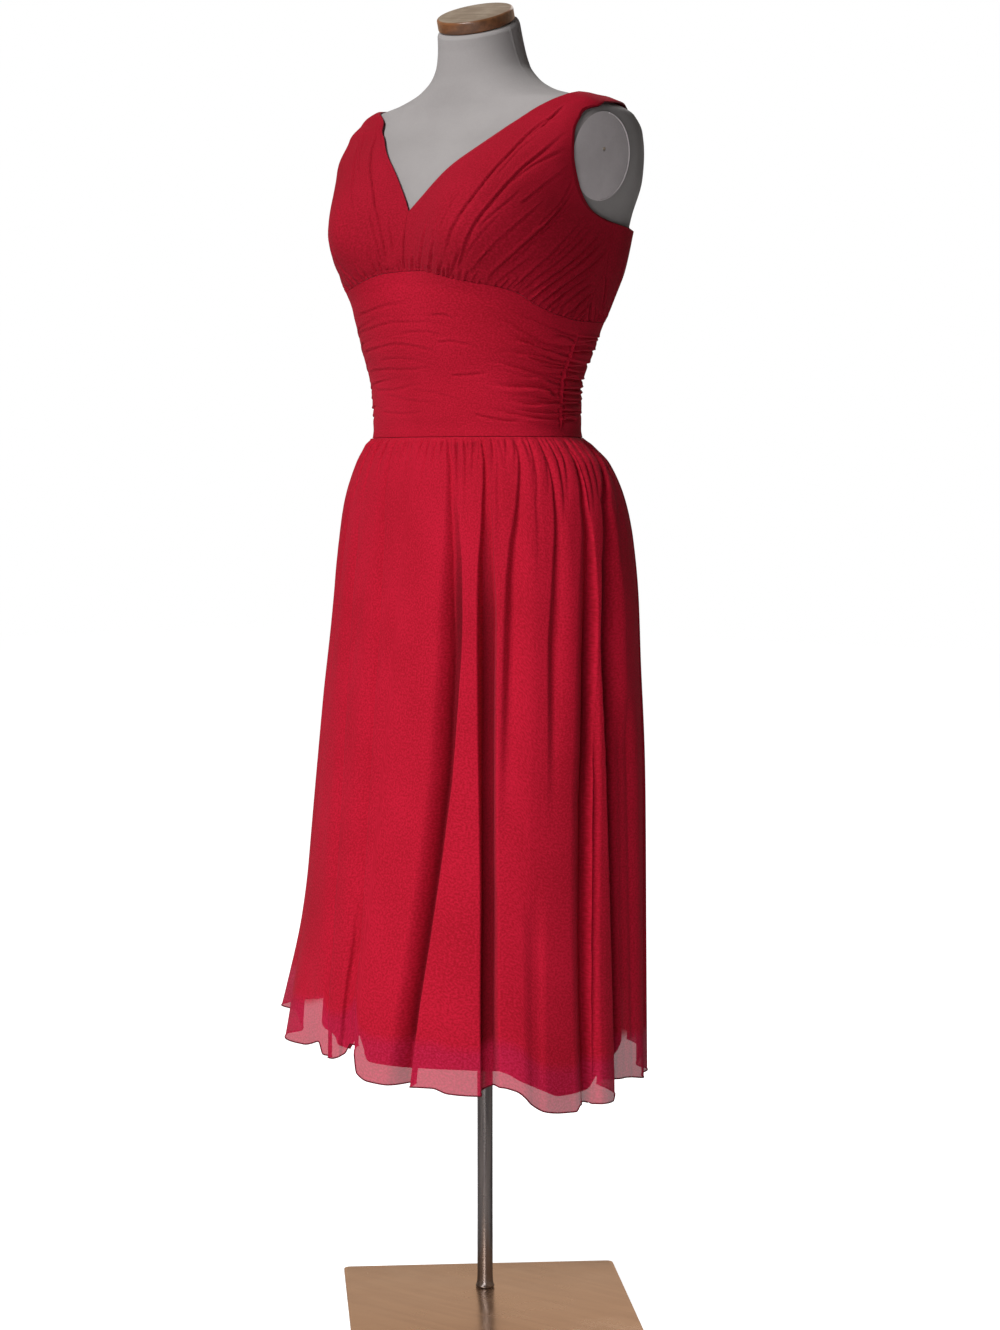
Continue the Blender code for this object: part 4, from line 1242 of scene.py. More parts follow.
backCreases = [
    Crease(1.4, 1.6, ((176.5, 118.6), (176.5, 124.0), (175.0, 130.5))),
    Crease(1.5, 1.7, ((168.5, 118.5), (168.0, 124.5), (163.0, 131.5), (156.5, 137.0))),
    Crease(1.2, 1.3, ((163.5, 118.4), (162.5, 121.0), (160.5, 124.0))),
    Crease(1.5, 1.6, ((158.0, 118.4), (155.5, 125.0), (150.5, 132.0), (146.0, 138.5))),
    Crease(1.1, 1.3, ((153.0, 118.3), (151.0, 121.0), (147.5, 124.0))),
    Crease(1.5, 1.5, ((146.0, 118.3), (142.5, 124.5), (140.5, 131.0), (142.0, 137.0))),
    Crease(1.2, 1.2, ((139.5, 118.2), (135.5, 122.0), (131.5, 126.0))),
    Crease(1.5, 1.5, ((131.0, 118.1), (125.0, 123.5), (117.5, 128.0))),
    Crease(1.3, 1.2, ((122.5, 118.0), (117.0, 121.8), (111.0, 125.2))),
    Crease(1.4, 1.2, ((114.0, 117.9), (107.5, 121.8), (100.0, 126.0))),
    Crease(1.3, 1.1, ((104.0, 117.7), (98.0, 120.8), (91.0, 123.6))),
    Crease(1.0, 1.3, ((160.0, 134.8), (152.0, 138.5), (139.0, 141.6))),
    Crease(0.9, 1.2, ((149.0, 136.0), (142.0, 140.0), (129.0, 142.6))),
]


def shortGathers(first, last, count, seed, longest):
    # short gathers up from the empire seam, uneven in spacing, length and depth, fanning out to the side
    random = np.random.default_rng(seed)
    starts = (np.arange(count) + 0.5 + random.uniform(-0.38, 0.38, count)) / count
    made = []
    for start in first + (last - first) * starts:
        length = longest * random.uniform(0.2, 1.0) ** 1.4
        fromMiddle = min(start, 180 - start)
        lean = np.interp(fromMiddle, (0, 10, 40, 60, 90), (0.3, 0.9, 2.2, 3.2, 2.8))
        slope = lean * random.uniform(0.8, 1.15)
        slope = slope if start < 90 else -slope
        foot = float(empireHeight(math.radians(start) - math.pi / 2)) / cm
        middle = (start + slope * length / 2, foot + length / 2)
        path = ((start, foot - 0.1), middle, (start + slope * length, foot + length))
        made.append(Crease(random.uniform(0.9, 1.7), random.uniform(0.9, 1.3), path))
    return made


def onForm(degrees, height):
    # a place on the cloth over the form, and the way out from it
    angle, height = np.radians(degrees) - math.pi / 2, np.asarray(height) * cm
    normal = surfaceNormal(formPoint, angle, height)
    return formPoint(angle, height) + normal * cloth["ease"], normal


def panelPlaces(rows, columns, thickAtSeam=1.25):
    u = np.linspace(0, 1, columns)
    v = np.linspace(0, 1, rows) ** thickAtSeam
    return np.meshgrid(u, v)


def makeBodicePanel(name, node, opening, armhole, mirror, creases, finish, span):
    # span is the cloth across and up the panel that the weave is laid over, in metres
    u, v = panelPlaces(bodice["rows"], bodice["columns"])
    points, normals = bodicePlace(opening, armhole, u, v)
    strap = int(bodice["evenFrom"] * len(points))
    share = np.clip(1 - u[strap:-1] / 0.4, 0, 1)[..., None] / 2  # only the neck side
    for step in range(bodice["evenSteps"]):
        points[strap:-1] += share * ((points[strap - 1 : -2] + points[strap + 1 :]) / 2 - points[strap:-1])
    back = opening is backOpening
    seam = 0.15 * mm
    points[:, 0, 0] = np.where(v[:, 0] <= opening[0].row, seam, points[:, 0, 0])
    points[0, :, 2] += seam
    shift = seam if back else -seam
    points[-1, :, 1] += shift
    points[:, -1, 1] += np.where(v[:, -1] <= armhole[0].row, shift, 0.0)
    if mirror:
        points, normals = points * (-1, 1, 1), normals * (-1, 1, 1)
    relief = pressedIn(points, creases, onForm, mirror)
    sides = np.where(v > opening[0].row, smoothStep(u / 0.055), 1.0)
    sides = sides * np.where(v > armhole[0].row, smoothStep((1 - u) / 0.06), 1.0)
    still = smoothStep((1 - v) / 0.03) * np.where(v > opening[0].row, smoothStep(u / 0.03), 1.0)
    still = still * np.where(v > armhole[0].row, smoothStep((1 - u) / 0.03), 1.0)
    puff = bodice["puff"] * (0.35 + 0.65 * smoothStep(v / 0.05)) * smoothStep((1 - v) / 0.06) * sides
    out = bodice["outside"] + puff + np.maximum(
        relief * bodice["strength"] * still, -puff - bodice["deepest"]
    )
    outer = points + normals * out[..., None]
    inner = points - normals * bodice["inside"]
    lengths = np.stack([u * span[0], v * span[1]], axis=-1)
    panel = clothShell(name, outer, inner, normals, [finish], lengths)
    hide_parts(node)
    return panel, outer, normals


# painted shade: the bodice's chiffon is the skirt's painted darker; the midriff's is a little darker too
bodiceChiffonShaded = makeChiffon("bodiceChiffonShaded", tone=0.77)
midriffChiffon = makeChiffon("midriffChiffon", tone=0.96)
shadedTurnedEdge = makeEdgeFinish()


frontOpenings = {"left": frontOpeningLeft, "right": frontOpeningRight}
bodicePanels = []
bodiceEdges = {}
for mirror, label in ((False, "left"), (True, "right")):
    seed = bodice["seed"] + (10 if mirror else 0)
    count, longest = bodice["gathers"], bodice["longestGather"]
    front = (cupRight if mirror else cupLeft) + shortGathers(0, 90, count, seed, longest)
    behind = backCreases + shortGathers(90, 180, count, seed + 1, longest)
    halves = {
        "front": (frontOpenings[label], frontArmhole, front, (0.27, 0.30)),
        "back": (backOpening, backArmhole, behind, (0.24, 0.30)),
    }
    for half, (opening, armhole, creases, span) in halves.items():
        cadNode = "bodice_" + half + "_" + label
        made, outer, normals = makeBodicePanel(
            cadNode + "_gathered", cadNode, opening, armhole, mirror, creases, bodiceChiffonShaded, span
        )
        bodicePanels.append(made)
        bodiceEdges[half, label] = outer, normals
print("bodice made:", len(bodicePanels), "panels")


def edgeLine(key, column, fromRow):
    # the panel's edge on its outer side, from a row up to the shoulder
    outer, normals = bodiceEdges[key]
    start = int(np.searchsorted(np.linspace(0, 1, len(outer)) ** 1.25, fromRow))
    return outer[start:, column], normals[start:, column]


def makeTurnedEdge(name, parts, width, thickness, inward, closed=True):
    # narrow turned and stitched edge round an opening
    line = np.concatenate([part[0] for part in parts])
    normal = np.concatenate([part[1] for part in parts])
    keep = np.concatenate([[True], np.linalg.norm(np.diff(line, axis=0), axis=1) > 0.4 * mm])
    line, normal = line[keep], normal[keep]
    tangent = unit(np.roll(line, -1, axis=0) - np.roll(line, 1, axis=0))
    sideways = unit(np.cross(normal, tangent))
    line = line - normal * inward
    made = tube(
        name, line, sideways, unit(np.cross(tangent, sideways)), width, thickness, [shadedTurnedEdge], closed,
        sides=12
    )
    return made


def backwards(part):
    return part[0][::-1], part[1][::-1]


edge = {"neckWidth": 1.4 * mm, "armWidth": 2.2 * mm, "thickness": 1.5 * mm, "inward": 0.8 * mm}
neckParts = [
    edgeLine(("front", "left"), 0, frontOpeningLeft[0].row),
    backwards(edgeLine(("back", "left"), 0, backOpening[0].row)),
    edgeLine(("back", "right"), 0, backOpening[0].row),
    backwards(edgeLine(("front", "right"), 0, frontOpeningRight[0].row)),
]
edgePieces = [
    makeTurnedEdge("neckline_edge", neckParts, edge["neckWidth"], edge["thickness"], edge["inward"])
]
for label in ("left", "right"):
    armParts = [
        edgeLine(("front", label), -1, frontArmhole[0].row),
        backwards(edgeLine(("back", label), -1, backArmhole[0].row)),
    ]
    edgePieces.append(
        makeTurnedEdge("armhole_edge_" + label, armParts, edge["armWidth"], edge["thickness"], edge["inward"])
    )
print("edges made:", len(edgePieces))

# Midriff: u runs round from side seam to side seam, v up from the waist seam

midriff = {
    "rows": 112,
    "columns": 301,
    "inside": 0.9 * mm,
    "outside": 0.8 * mm,
    "puff": 1.6 * mm,
    "deepest": 1.1 * mm,
    "strength": 1.35,
    "strip": 0.085,  # smooth strip at the top and bottom, as a share of the height
    "seed": 21,
}
ruchesFront = [
    Crease(0.8, 1.1, ((-0.62, 0.745), (-0.215, 0.713), (0.03, 0.698), (0.275, 0.703))),
    Crease(0.9, 1.2, ((-0.58, 0.610), (-0.21, 0.583), (0.025, 0.552), (0.235, 0.515))),
    Crease(0.7, 1.0, ((-0.36, 0.520), (-0.09, 0.485), (0.085, 0.463))),
    Crease(0.8, 1.1, ((-0.62, 0.485), (-0.30, 0.450), (-0.115, 0.420), (0.235, 0.430))),
    Crease(0.8, 1.1, ((-0.55, 0.335), (-0.25, 0.310), (0.05, 0.330))),
    Crease(0.7, 1.0, ((-0.40, 0.290), (-0.10, 0.225), (0.26, 0.210))),
    Crease(0.7, 1.0, ((-0.09, 0.292), (0.165, 0.270), (0.38, 0.242))),
    Crease(0.9, 0.9, ((-0.95, 0.790), (-0.70, 0.776), (-0.42, 0.762), (-0.10, 0.765))),
    Crease(1.0, 0.9, ((-0.96, 0.700), (-0.66, 0.672), (-0.30, 0.655))),
    Crease(0.9, 0.9, ((-0.95, 0.560), (-0.70, 0.545), (-0.45, 0.548))),
    Crease(0.9, 0.9, ((-0.96, 0.425), (-0.72, 0.400), (-0.40, 0.385), (-0.15, 0.380))),
    Crease(0.8, 0.9, ((-0.95, 0.255), (-0.68, 0.240), (-0.50, 0.225))),
    Crease(1.8, 1.5, ((1.0, 0.875), (0.88, 0.885), (0.725, 0.890), (0.52, 0.860))),
    Crease(1.7, 1.5, ((1.0, 0.760), (0.90, 0.757), (0.705, 0.777), (0.49, 0.800))),
    Crease(1.6, 1.4, ((1.0, 0.715), (0.90, 0.735), (0.76, 0.745), (0.60, 0.672))),
    Crease(1.6, 1.4, ((1.0, 0.650), (0.90, 0.655), (0.78, 0.665), (0.56, 0.580))),
    Crease(1.3, 1.1, ((1.0, 0.605), (0.93, 0.600), (0.80, 0.590))),
    Crease(1.7, 1.5, ((1.0, 0.555), (0.92, 0.540), (0.74, 0.530), (0.52, 0.512))),
    Crease(2.3, 1.9, ((1.0, 0.455), (0.93, 0.470), (0.84, 0.500), (0.72, 0.470))),
    Crease(2.5, 2.2, ((1.0, 0.375), (0.94, 0.370), (0.87, 0.420), (0.70, 0.378), (0.54, 0.352))),
    Crease(1.2, 1.0, ((0.98, 0.335), (0.90, 0.325), (0.76, 0.330))),
    Crease(2.0, 1.7, ((1.0, 0.300), (0.93, 0.290), (0.815, 0.263), (0.64, 0.272))),
    Crease(1.3, 1.1, ((1.0, 0.235), (0.90, 0.225), (0.77, 0.215))),
    Crease(1.6, 1.4, ((1.0, 0.165), (0.88, 0.160), (0.705, 0.170), (0.53, 0.192))),
    Crease(1.2, 1.3, ((0.46, 0.150), (0.64, 0.120), (0.80, 0.135))),
    Crease(0.9, 1.2, ((0.16, 0.742), (0.25, 0.763), (0.31, 0.745))),
    Crease(0.9, 1.2, ((0.20, 0.585), (0.33, 0.610), (0.47, 0.590))),
    Crease(0.9, 1.2, ((0.30, 0.395), (0.42, 0.412), (0.56, 0.440))),
    Crease(0.7, 1.1, ((-0.10, 0.635), (0.10, 0.640), (0.27, 0.625))),
    Crease(0.8, 1.1, ((-0.48, 0.180), (-0.20, 0.150), (0.05, 0.155))),
    Crease(0.8, 1.1, ((-0.42, 0.835), (-0.18, 0.815), (0.06, 0.812))),
]
sideSeams = [
    Crease(1.5, 1.2, ((side * 0.985, 0.05), (side * 0.98, 0.5), (side * 0.985, 0.95))) for side in (-1, 1)
]


def sideRuches(count, seed, ends):
    # ruching held in at a side seam: uneven creases that fade towards the middle
    random = np.random.default_rng(seed)
    made = []
    for side in ends:
        heights = 0.10 + 0.80 * (np.arange(count) + 0.5 + random.uniform(-0.35, 0.35, count)) / count
        for height in heights:
            reach = random.uniform(0.16, 0.55)
            rise = random.uniform(-0.025, 0.030)
            path = (
                (side, height), (side * (1 - reach * 0.45), height + rise),
                (side * (1 - reach), height + 0.6 * rise)
            )
            made.append(Crease(random.uniform(1.2, 2.3), random.uniform(0.9, 1.6), path))
    return made


def midRuches(rows, seed, reach):
    # longer creases across the middle, broken and uneven
    random = np.random.default_rng(seed)
    made = []
    for height in rows:
        start = random.uniform(-reach, -0.15)
        while start < reach - 0.15:
            length = random.uniform(0.22, 0.55)
            level = height + random.uniform(-0.018, 0.018)
            bend = random.uniform(-0.015, 0.020)
            path = (
                (start, level), (start + length / 2, level + bend),
                (start + length, level + random.uniform(-0.01, 0.01))
            )
            made.append(Crease(random.uniform(0.7, 1.4), random.uniform(1.2, 1.8), path))
            start += length + random.uniform(0.02, 0.2)
    return made


def makeMidriff(name, node, back, creases, finish, span):
    def place(u, v):
        return midriffPlace(back, u, v)

    gap = 0.3 * mm
    u, v = np.meshgrid(np.linspace(-1, 1, midriff["columns"]), np.linspace(0, 1, midriff["rows"]))
    points, normals = place(u, v)
    points[..., 2] += gap * (1 - 2 * v)
    points[:, 0, 1] += gap / 2 * (1 if back else -1)
    points[:, -1, 1] += gap / 2 * (1 if back else -1)
    relief = pressedIn(points, creases, place)
    strip = midriff["strip"]
    free = smoothStep((v - strip * 0.55) / strip) * smoothStep((1 - strip * 0.75 - v) / strip)
    puff = midriff["puff"] * free
    flatStrip = 0.5 * mm * (1 - free)
    pressed = relief * midriff["strength"] * (0.12 + 0.88 * free)
    out = midriff["outside"] + puff + flatStrip + np.maximum(pressed, -puff - midriff["deepest"] * free)
    outer = points + normals * out[..., None]
    inner = points - normals * midriff["inside"]
    lengths = np.stack([u * span[0] / 2, v * span[1]], axis=-1)
    made = clothShell(name, outer, inner, normals, [finish], lengths)
    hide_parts(node)
    return made


frontRuches = ruchesFront + sideSeams
frontRuches += sideRuches(17, midriff["seed"], (-1,)) + sideRuches(9, midriff["seed"] + 1, (1,))
backRuches = sideSeams + sideRuches(16, midriff["seed"] + 2, (-1, 1))
backRuches += midRuches(np.linspace(0.17, 0.85, 10), midriff["seed"] + 3, 0.62)
midriffPieces = [
    makeMidriff("midriff_front_ruched", "midriff_front", False, frontRuches, midriffChiffon, (0.42, 0.22)),
    makeMidriff("midriff_back_ruched", "midriff_back", True, backRuches, midriffChiffon, (0.40, 0.22)),
]
print("midriff made:", len(midriffPieces), "panels")

# Skirt: a gathered overlay over a plain flared lining

skirt = {
    "columns": 560,  # in each panel
    "rows": 132,
    "waistRows": 1.7,  # above 1, rows lie closer together at the waist
    "gap": 0.15 * mm,
    "behindFrom": 113,  # degrees, where the listed gathers end
    "behindApart": 4.7,
    "behind": 29,
    "small": 64,
    "ripples": 44,
    "gatherPuff": 3.3 * mm,
    "gatherStrength": 1.5,
    "gatherShade": 4.5,  # how much sooner a gather takes the painted shade than a valley of the same depth
    "steepBelow": 18,  # millimetres: a narrower wall is rounded, a wider one hollow
    "lapReach": 22.0,  # millimetres over which a lapped wall eases off
    "sideGap": 0.02 * mm,
    "hemWidth": 1.7 * mm,
    "hemThickness": 1.5 * mm,
    "liningRows": 61,
    "liningColumns": 151,
    "liningHem": 12 * mm,
    "liningWaves": 9,
    "liningWave": 1.5 * mm,
    "seed": 33,
}

# Valleys between the folds. Each runs down a path of (share down from the waist, degrees from the
# centre front). Depth, the width of its floor and of the walls on the wearer's right and left of it, and
# how far the cloth of either wall laps over the floor near the hem, are in millimetres.
Valley = namedtuple("Valley", "path depth floor right left lapRight lapLeft")
skirtValleys = [
    Valley(((0.05, -47), (1.05, -46)), 13, 6, 30, 12, 0, 4),
    Valley(
        ((0.12, -34), (0.17, -32.8), (0.37, -27.6), (0.57, -22.6), (0.85, -15.8), (1.05, -12)), 7, 2, 26, 6,
        0, 5
    ),
    Valley(
        ((-0.1, -24), (0.07, -17.2), (0.17, -13), (0.33, -9.6), (0.59, -6.4), (0.86, -2.2), (1.05, -0.6)), 9,
        5, 24, 6, 0, 4
    ),
    Valley(((0.74, -5.4), (0.95, -5.0), (1.05, -4.8)), 5, 4, 6, 6, 4, 0),
    Valley(
        (
            (-0.1, 23.5), (0.1, 27.4), (0.19, 29.2), (0.33, 29.6), (0.53, 28.6), (0.65, 26.8), (0.81, 23.4),
            (1.0, 19.5)
        ),
        26, 8, 20, 6, 0, 4
    ),
    Valley(
        ((-0.1, 47), (0.1, 42.4), (0.19, 41.4), (0.31, 41.7), (0.46, 42.5), (0.7, 44.3), (1.05, 45.8)), 25,
        12, 5, 9, 5, 3
    ),
    Valley(((-0.05, 54.5), (0.07, 48), (0.24, 45.5)), 4, 1, 5, 12, 0, 0),
    Valley(
        ((-0.1, 68), (0.08, 56.8), (0.16, 53), (0.22, 51.8), (0.3, 51.3), (0.66, 51.3)), 9, 3, 9, 30, 0, 0
    ),
    Valley(((-0.05, 71), (0.1, 62), (0.26, 60.2)), 5, 1, 5, 12, 0, 0),
    Valley(((-0.05, 74.5), (0.09, 69.8), (0.18, 68), (0.3, 66), (0.60, 65.5)), 8, 2, 8, 22, 0, 0),
    Valley(((0.66, 59.6), (1.05, 60.2)), 3, 3, 14, 14, 2, 2),
    Valley(((-0.1, 92), (0.1, 82), (0.3, 80), (0.54, 77.8), (0.75, 78.2), (1.05, 79.6)), 18, 4, 20, 6, 0, 4),
    Valley(((0.33, 81), (0.69, 81.4), (1.05, 82)), 4, 1, 4, 6, 2, 0),
    Valley(
        (
            (-0.1, 112), (0.02, 104.5), (0.1, 91.8), (0.19, 88.2), (0.31, 86.8), (0.55, 88.6), (0.8, 92),
            (1.05, 94)
        ),
        34, 14, 5, 32, 5, 0
    ),
    Valley(((0.0, 110), (0.12, 102), (0.24, 98)), 8, 8, 16, 16, 0, 0),
    Valley(((0.38, 97), (0.6, 99.5), (0.8, 102), (1.05, 104)), 8, 10, 14, 18, 0, 0),
    Valley(((0.05, 115), (1.05, 116)), 6, 4, 16, 12, 0, 0),
    Valley(((0.08, 124), (1.05, 125)), 12, 4, 13, 45, 0, 0),
    Valley(((-0.1, 143), (1.05, 142)), 12, 3, 45, 12, 0, 4),
    Valley(((0.06, 160), (1.05, 159)), 13, 5, 14, 45, 4, 0),
    Valley(((-0.1, 179), (1.05, 180)), 12, 4, 13, 50, 3, 0),
    Valley(((0.04, -163), (1.05, -162)), 12, 3, 45, 13, 0, 4),
    Valley(((-0.1, -143), (1.05, -142)), 13, 5, 14, 50, 5, 0),
    Valley(((0.08, -122), (1.05, -121)), 12, 4, 50, 14, 0, 4),
    Valley(((-0.1, -100), (1.05, -101)), 12, 5, 14, 50, 3, 0),
    Valley(((0.05, -78), (1.05, -75)), 13, 4, 45, 14, 0, 4),
    Valley(((-0.1, -60), (0.45, -58)), 7, 2, 35, 9, 0, 0),
]

# Gathers at the waist seam: degrees there and at the lower end, the share of the length there, and
# the depth in millimetres
Gather = namedtuple("Gather", "top end down depth")
waistGathers = [
    Gather(
        -37, -33, 0.10, 2.6
    ), Gather(-28, -25, 0.07, 2.2), Gather(-15, -13, 0.04, 2.0), Gather(-8, -7, 0.04, 2.2),
    Gather(-4, -3, 0.06, 2.4), Gather(4, 5, 0.04, 1.8), Gather(10, 8, 0.09, 2.4), Gather(16, 14, 0.06, 2.2),
    Gather(20, 21, 0.05, 1.8), Gather(29, 30, 0.15, 2.8), Gather(
        34.5, 33, 0.13, 2.6
    ), Gather(39.5, 36, 0.08, 2.2),
    Gather(
        43, 40, 0.05, 2.2
    ), Gather(50, 46, 0.06, 2.2), Gather(57, 52, 0.05, 2.2), Gather(61, 56, 0.05, 2.0),
    Gather(68, 62, 0.08, 2.4), Gather(73, 67, 0.09, 2.4), Gather(
        77.5, 71, 0.14, 3.0
    ), Gather(82, 74, 0.10, 2.8),
    Gather(88, 81, 0.17, 3.0), Gather(93, 85, 0.12, 2.8), Gather(
        98.5, 89, 0.10, 2.8
    ), Gather(104, 97, 0.08, 2.6),
    Gather(
        110, 105, 0.13, 2.8
    ), Gather(-46, -42, 0.12, 2.6), Gather(-55, -51, 0.07, 2.4), Gather(-66, -62, 0.14, 2.8),
    Gather(-74, -71, 0.08, 2.4), Gather(-84, -82, 0.12, 2.8), Gather(-95, -94, 0.09, 2.6), Gather(
        -106, -106, 0.15, 2.8
    ),
]


def foldEnvelope(degrees, down):
    # how far the crests stand out from the section, with their flare just above the hem
    grown = smoothStep(down * 1.4) ** 0.7
    kick = np.maximum(0.0, 1 - (1 - down) / cloth["flareReach"]) ** 2
    angles = np.array([fold.angle for fold in skirtFolds], float)
    heights = np.array([fold.height for fold in skirtFolds], float)
    around = np.concatenate([angles - 360, angles, angles + 360])
    reach = np.interp(degrees, around, np.tile(heights, 3)) * mm * grown
    for fold in skirtFolds:
        crest = fold.angle - fold.drift * (1 - down)
        apart = np.abs((degrees - crest + 180) % 360 - 180)
        bump = np.cos(np.pi / 2 * np.minimum(apart / fold.width, 1.0)) ** 2
        reach = reach + fold.flare * mm * kick * bump
    return reach


def acrossLine(degrees, line, radius):
    # millimetres round the skirt from a line, towards the wearer's left
    return ((degrees - line + 180) % 360 - 180) * math.pi / 180 * radius / mm


def skirtRelief(degrees, down, radius):
    # how far the valleys are pressed in, and how far their walls lap over them sideways
    relief, lap = np.zeros_like(degrees), np.zeros_like(degrees)
    opened = smoothStep(down / 0.30)
    for valley in skirtValleys:
        path = np.array(valley.path, float)
        apart = acrossLine(degrees, np.interp(down, path[:, 0], path[:, 1]), radius)
        begins, ends = path[0, 0], path[-1, 0]
        size = smoothStep((down - begins + 0.01) / 0.12)
        if ends < 1:
            size = size * smoothStep((ends - down) / 0.34)
        size = size * (0.35 + 0.65 * opened)
        half = valley.floor / 2 * (0.1 + 0.7 * opened + 0.4 * down)
        wall = np.where(apart < 0, valley.right, valley.left) * (0.3 + 0.7 * opened)
        beyond = np.clip((np.abs(apart) - half) / wall, 0, 1)
        steep = np.where(apart < 0, valley.right, valley.left) < skirt["steepBelow"]
        relief -= valley.depth * mm * size * np.where(steep, 1 - smoothStep(beyond), (1 - beyond) ** 2)
        grown = size * smoothStep((down - 0.15) / 0.5)
        for sign, width, over in ((-1, valley.right, valley.lapRight), (1, valley.left, valley.lapLeft)):
            out = sign * apart - half - 0.9 * width
            spread = np.where(out > 0, skirt["lapReach"], 0.55 * width)
            lap -= sign * over * mm * grown * np.exp(-((out / spread) ** 2))
    return relief, lap


def gatherRelief(degrees, down, radius):
    # gathers below the waist seam, and long faint ripples that run on down the skirt
    random = np.random.default_rng(skirt["seed"])
    relief = np.zeros_like(degrees)
    gathers = list(waistGathers)
    tops = np.arange(skirt["behindFrom"], 360 - skirt["behindFrom"], skirt["behindApart"])
    for top in tops + random.uniform(-1.8, 1.8, skirt["behind"]):
        gathers.append(
            Gather(top, top + random.uniform(-3, 3), random.uniform(0.04, 0.17), random.uniform(1.8, 3.0))
        )
    for top in random.uniform(-105, 112, skirt["small"]):  # smaller ones between
        gathers.append(Gather(top, top - 0.03 * top, random.uniform(0.02, 0.05), random.uniform(1.0, 1.7)))
    for gather in gathers:
        part = np.clip(down / gather.down, 0, 1)
        apart = acrossLine(degrees, gather.top + (gather.end - gather.top) * part, radius)
        wide = (1.4 + 20 * down) * np.where(apart > 0, 1.5, 0.7)
        size = skirt["gatherStrength"] * gather.depth * mm * (1 - part) ** 0.8
        relief -= size * np.exp(-((np.abs(apart) / wide) ** 1.5))
    for ripple in range(skirt["ripples"]):
        line = random.uniform(-180, 180) + random.uniform(-4, 4) * down
        begins, ends = random.uniform(-0.1, 0.2), random.uniform(0.35, 1.1)
        width, depth = random.uniform(5, 12), random.uniform(0.4, 1.3)
        size = smoothStep((down - begins) / 0.2) * smoothStep((ends - down) / 0.35)
        relief -= depth * mm * size * np.exp(-((acrossLine(degrees, line, radius) / width) ** 2))
    return relief


def overlaySurface(back):
    # points, normals, degrees, the depth in the folds that drives their painted shade, and lengths up from
    # the hem of one skirt panel
    rows, columns, gap = skirt["rows"], skirt["columns"], skirt["gap"]
    share = 1 - np.linspace(1, 0, rows) ** skirt["waistRows"]
    turn = (0.0 if back else -math.pi) + math.pi * np.linspace(0, 1, columns)
    angle, share = np.meshgrid(turn, share)
    down = 1 - share
    hem = hemHeight(hemLine, angle)
    top = cloth["waistSeam"] - gap
    height = hem + (top - hem) * share
    points, normals = skirtPlace(angle, height)
    side = curveAt(skirtSections, "height", height / cm)[..., 4] * cm
    radius = np.hypot(points[..., 0], points[..., 1] - side)
    degrees = fromFront(angle)
    puff = skirt["gatherPuff"] * smoothStep(down / 0.012) * (1 - smoothStep((down - 0.06) / 0.30))
    out = cloth["liningInside"] + puff + foldEnvelope(degrees, down)
    valleys, lap = skirtRelief(degrees, down, radius)
    gathers = gatherRelief(degrees, down, radius) * smoothStep(down / 0.010)
    # how deep each place lies in a valley or gather, for the painted shade
    foldShadeDepth = -valleys - skirt["gatherShade"] * gathers
    pressed = valleys + gathers
    grown = smoothStep(down * 1.4) ** 0.7
    lowest = cloth["liningInside"] * 0.6 - (cloth["foldDepth"] * 1.25) * grown - 0.5 * mm
    lowest = lowest - cloth["deeper"] * smoothStep((down - 0.07) / 0.3)
    out = np.maximum(out + pressed, lowest)
    around = np.stack([-normals[..., 1], normals[..., 0], np.zeros_like(out)], axis=-1)
    edges = smoothStep(np.abs(np.sin(angle)) / 0.12)  # the side seams stay in line
    points = points + normals * out[..., None] + around * (lap * edges)[..., None]
    points[:, [0, -1], 1] += skirt["sideGap"] if back else -skirt["sideGap"]
    return points, normals, degrees, foldShadeDepth, height - hem


def makeOverlay(name, node, back, finish):
    points, normals, degrees, foldShadeDepth, length = overlaySurface(back)
    lengths = np.stack([np.radians(degrees) * 0.2, length], axis=-1)
    made = addMesh(
        name, points.reshape(-1, 3), [gridFaces(*points.shape[:2])], [finish], lengths.reshape(-1, 2),
        sharp=75
    )
    depth = made.data.attributes.new("foldShadeDepth", "FLOAT", "POINT")  # metres, for the finish's painted shade in the folds
    depth.data.foreach_set("value", np.ascontiguousarray(foldShadeDepth, np.float32).ravel())
    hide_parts(node)
    roll = makeHemRoll(name.replace("overlay", "hem"), points[0], normals[0])
    return made, roll


def makeHemRoll(name, line, normal):
    # hand-rolled edge of the overlay
    tangent = unit(np.gradient(line, axis=0))
    sideways = unit(np.cross(normal, tangent))
    outward = unit(np.cross(tangent, sideways))
    made = tube(
        name, line, sideways, outward, skirt["hemWidth"], skirt["hemThickness"], [shadedHemEdge], False, sides=8
    )
    return made


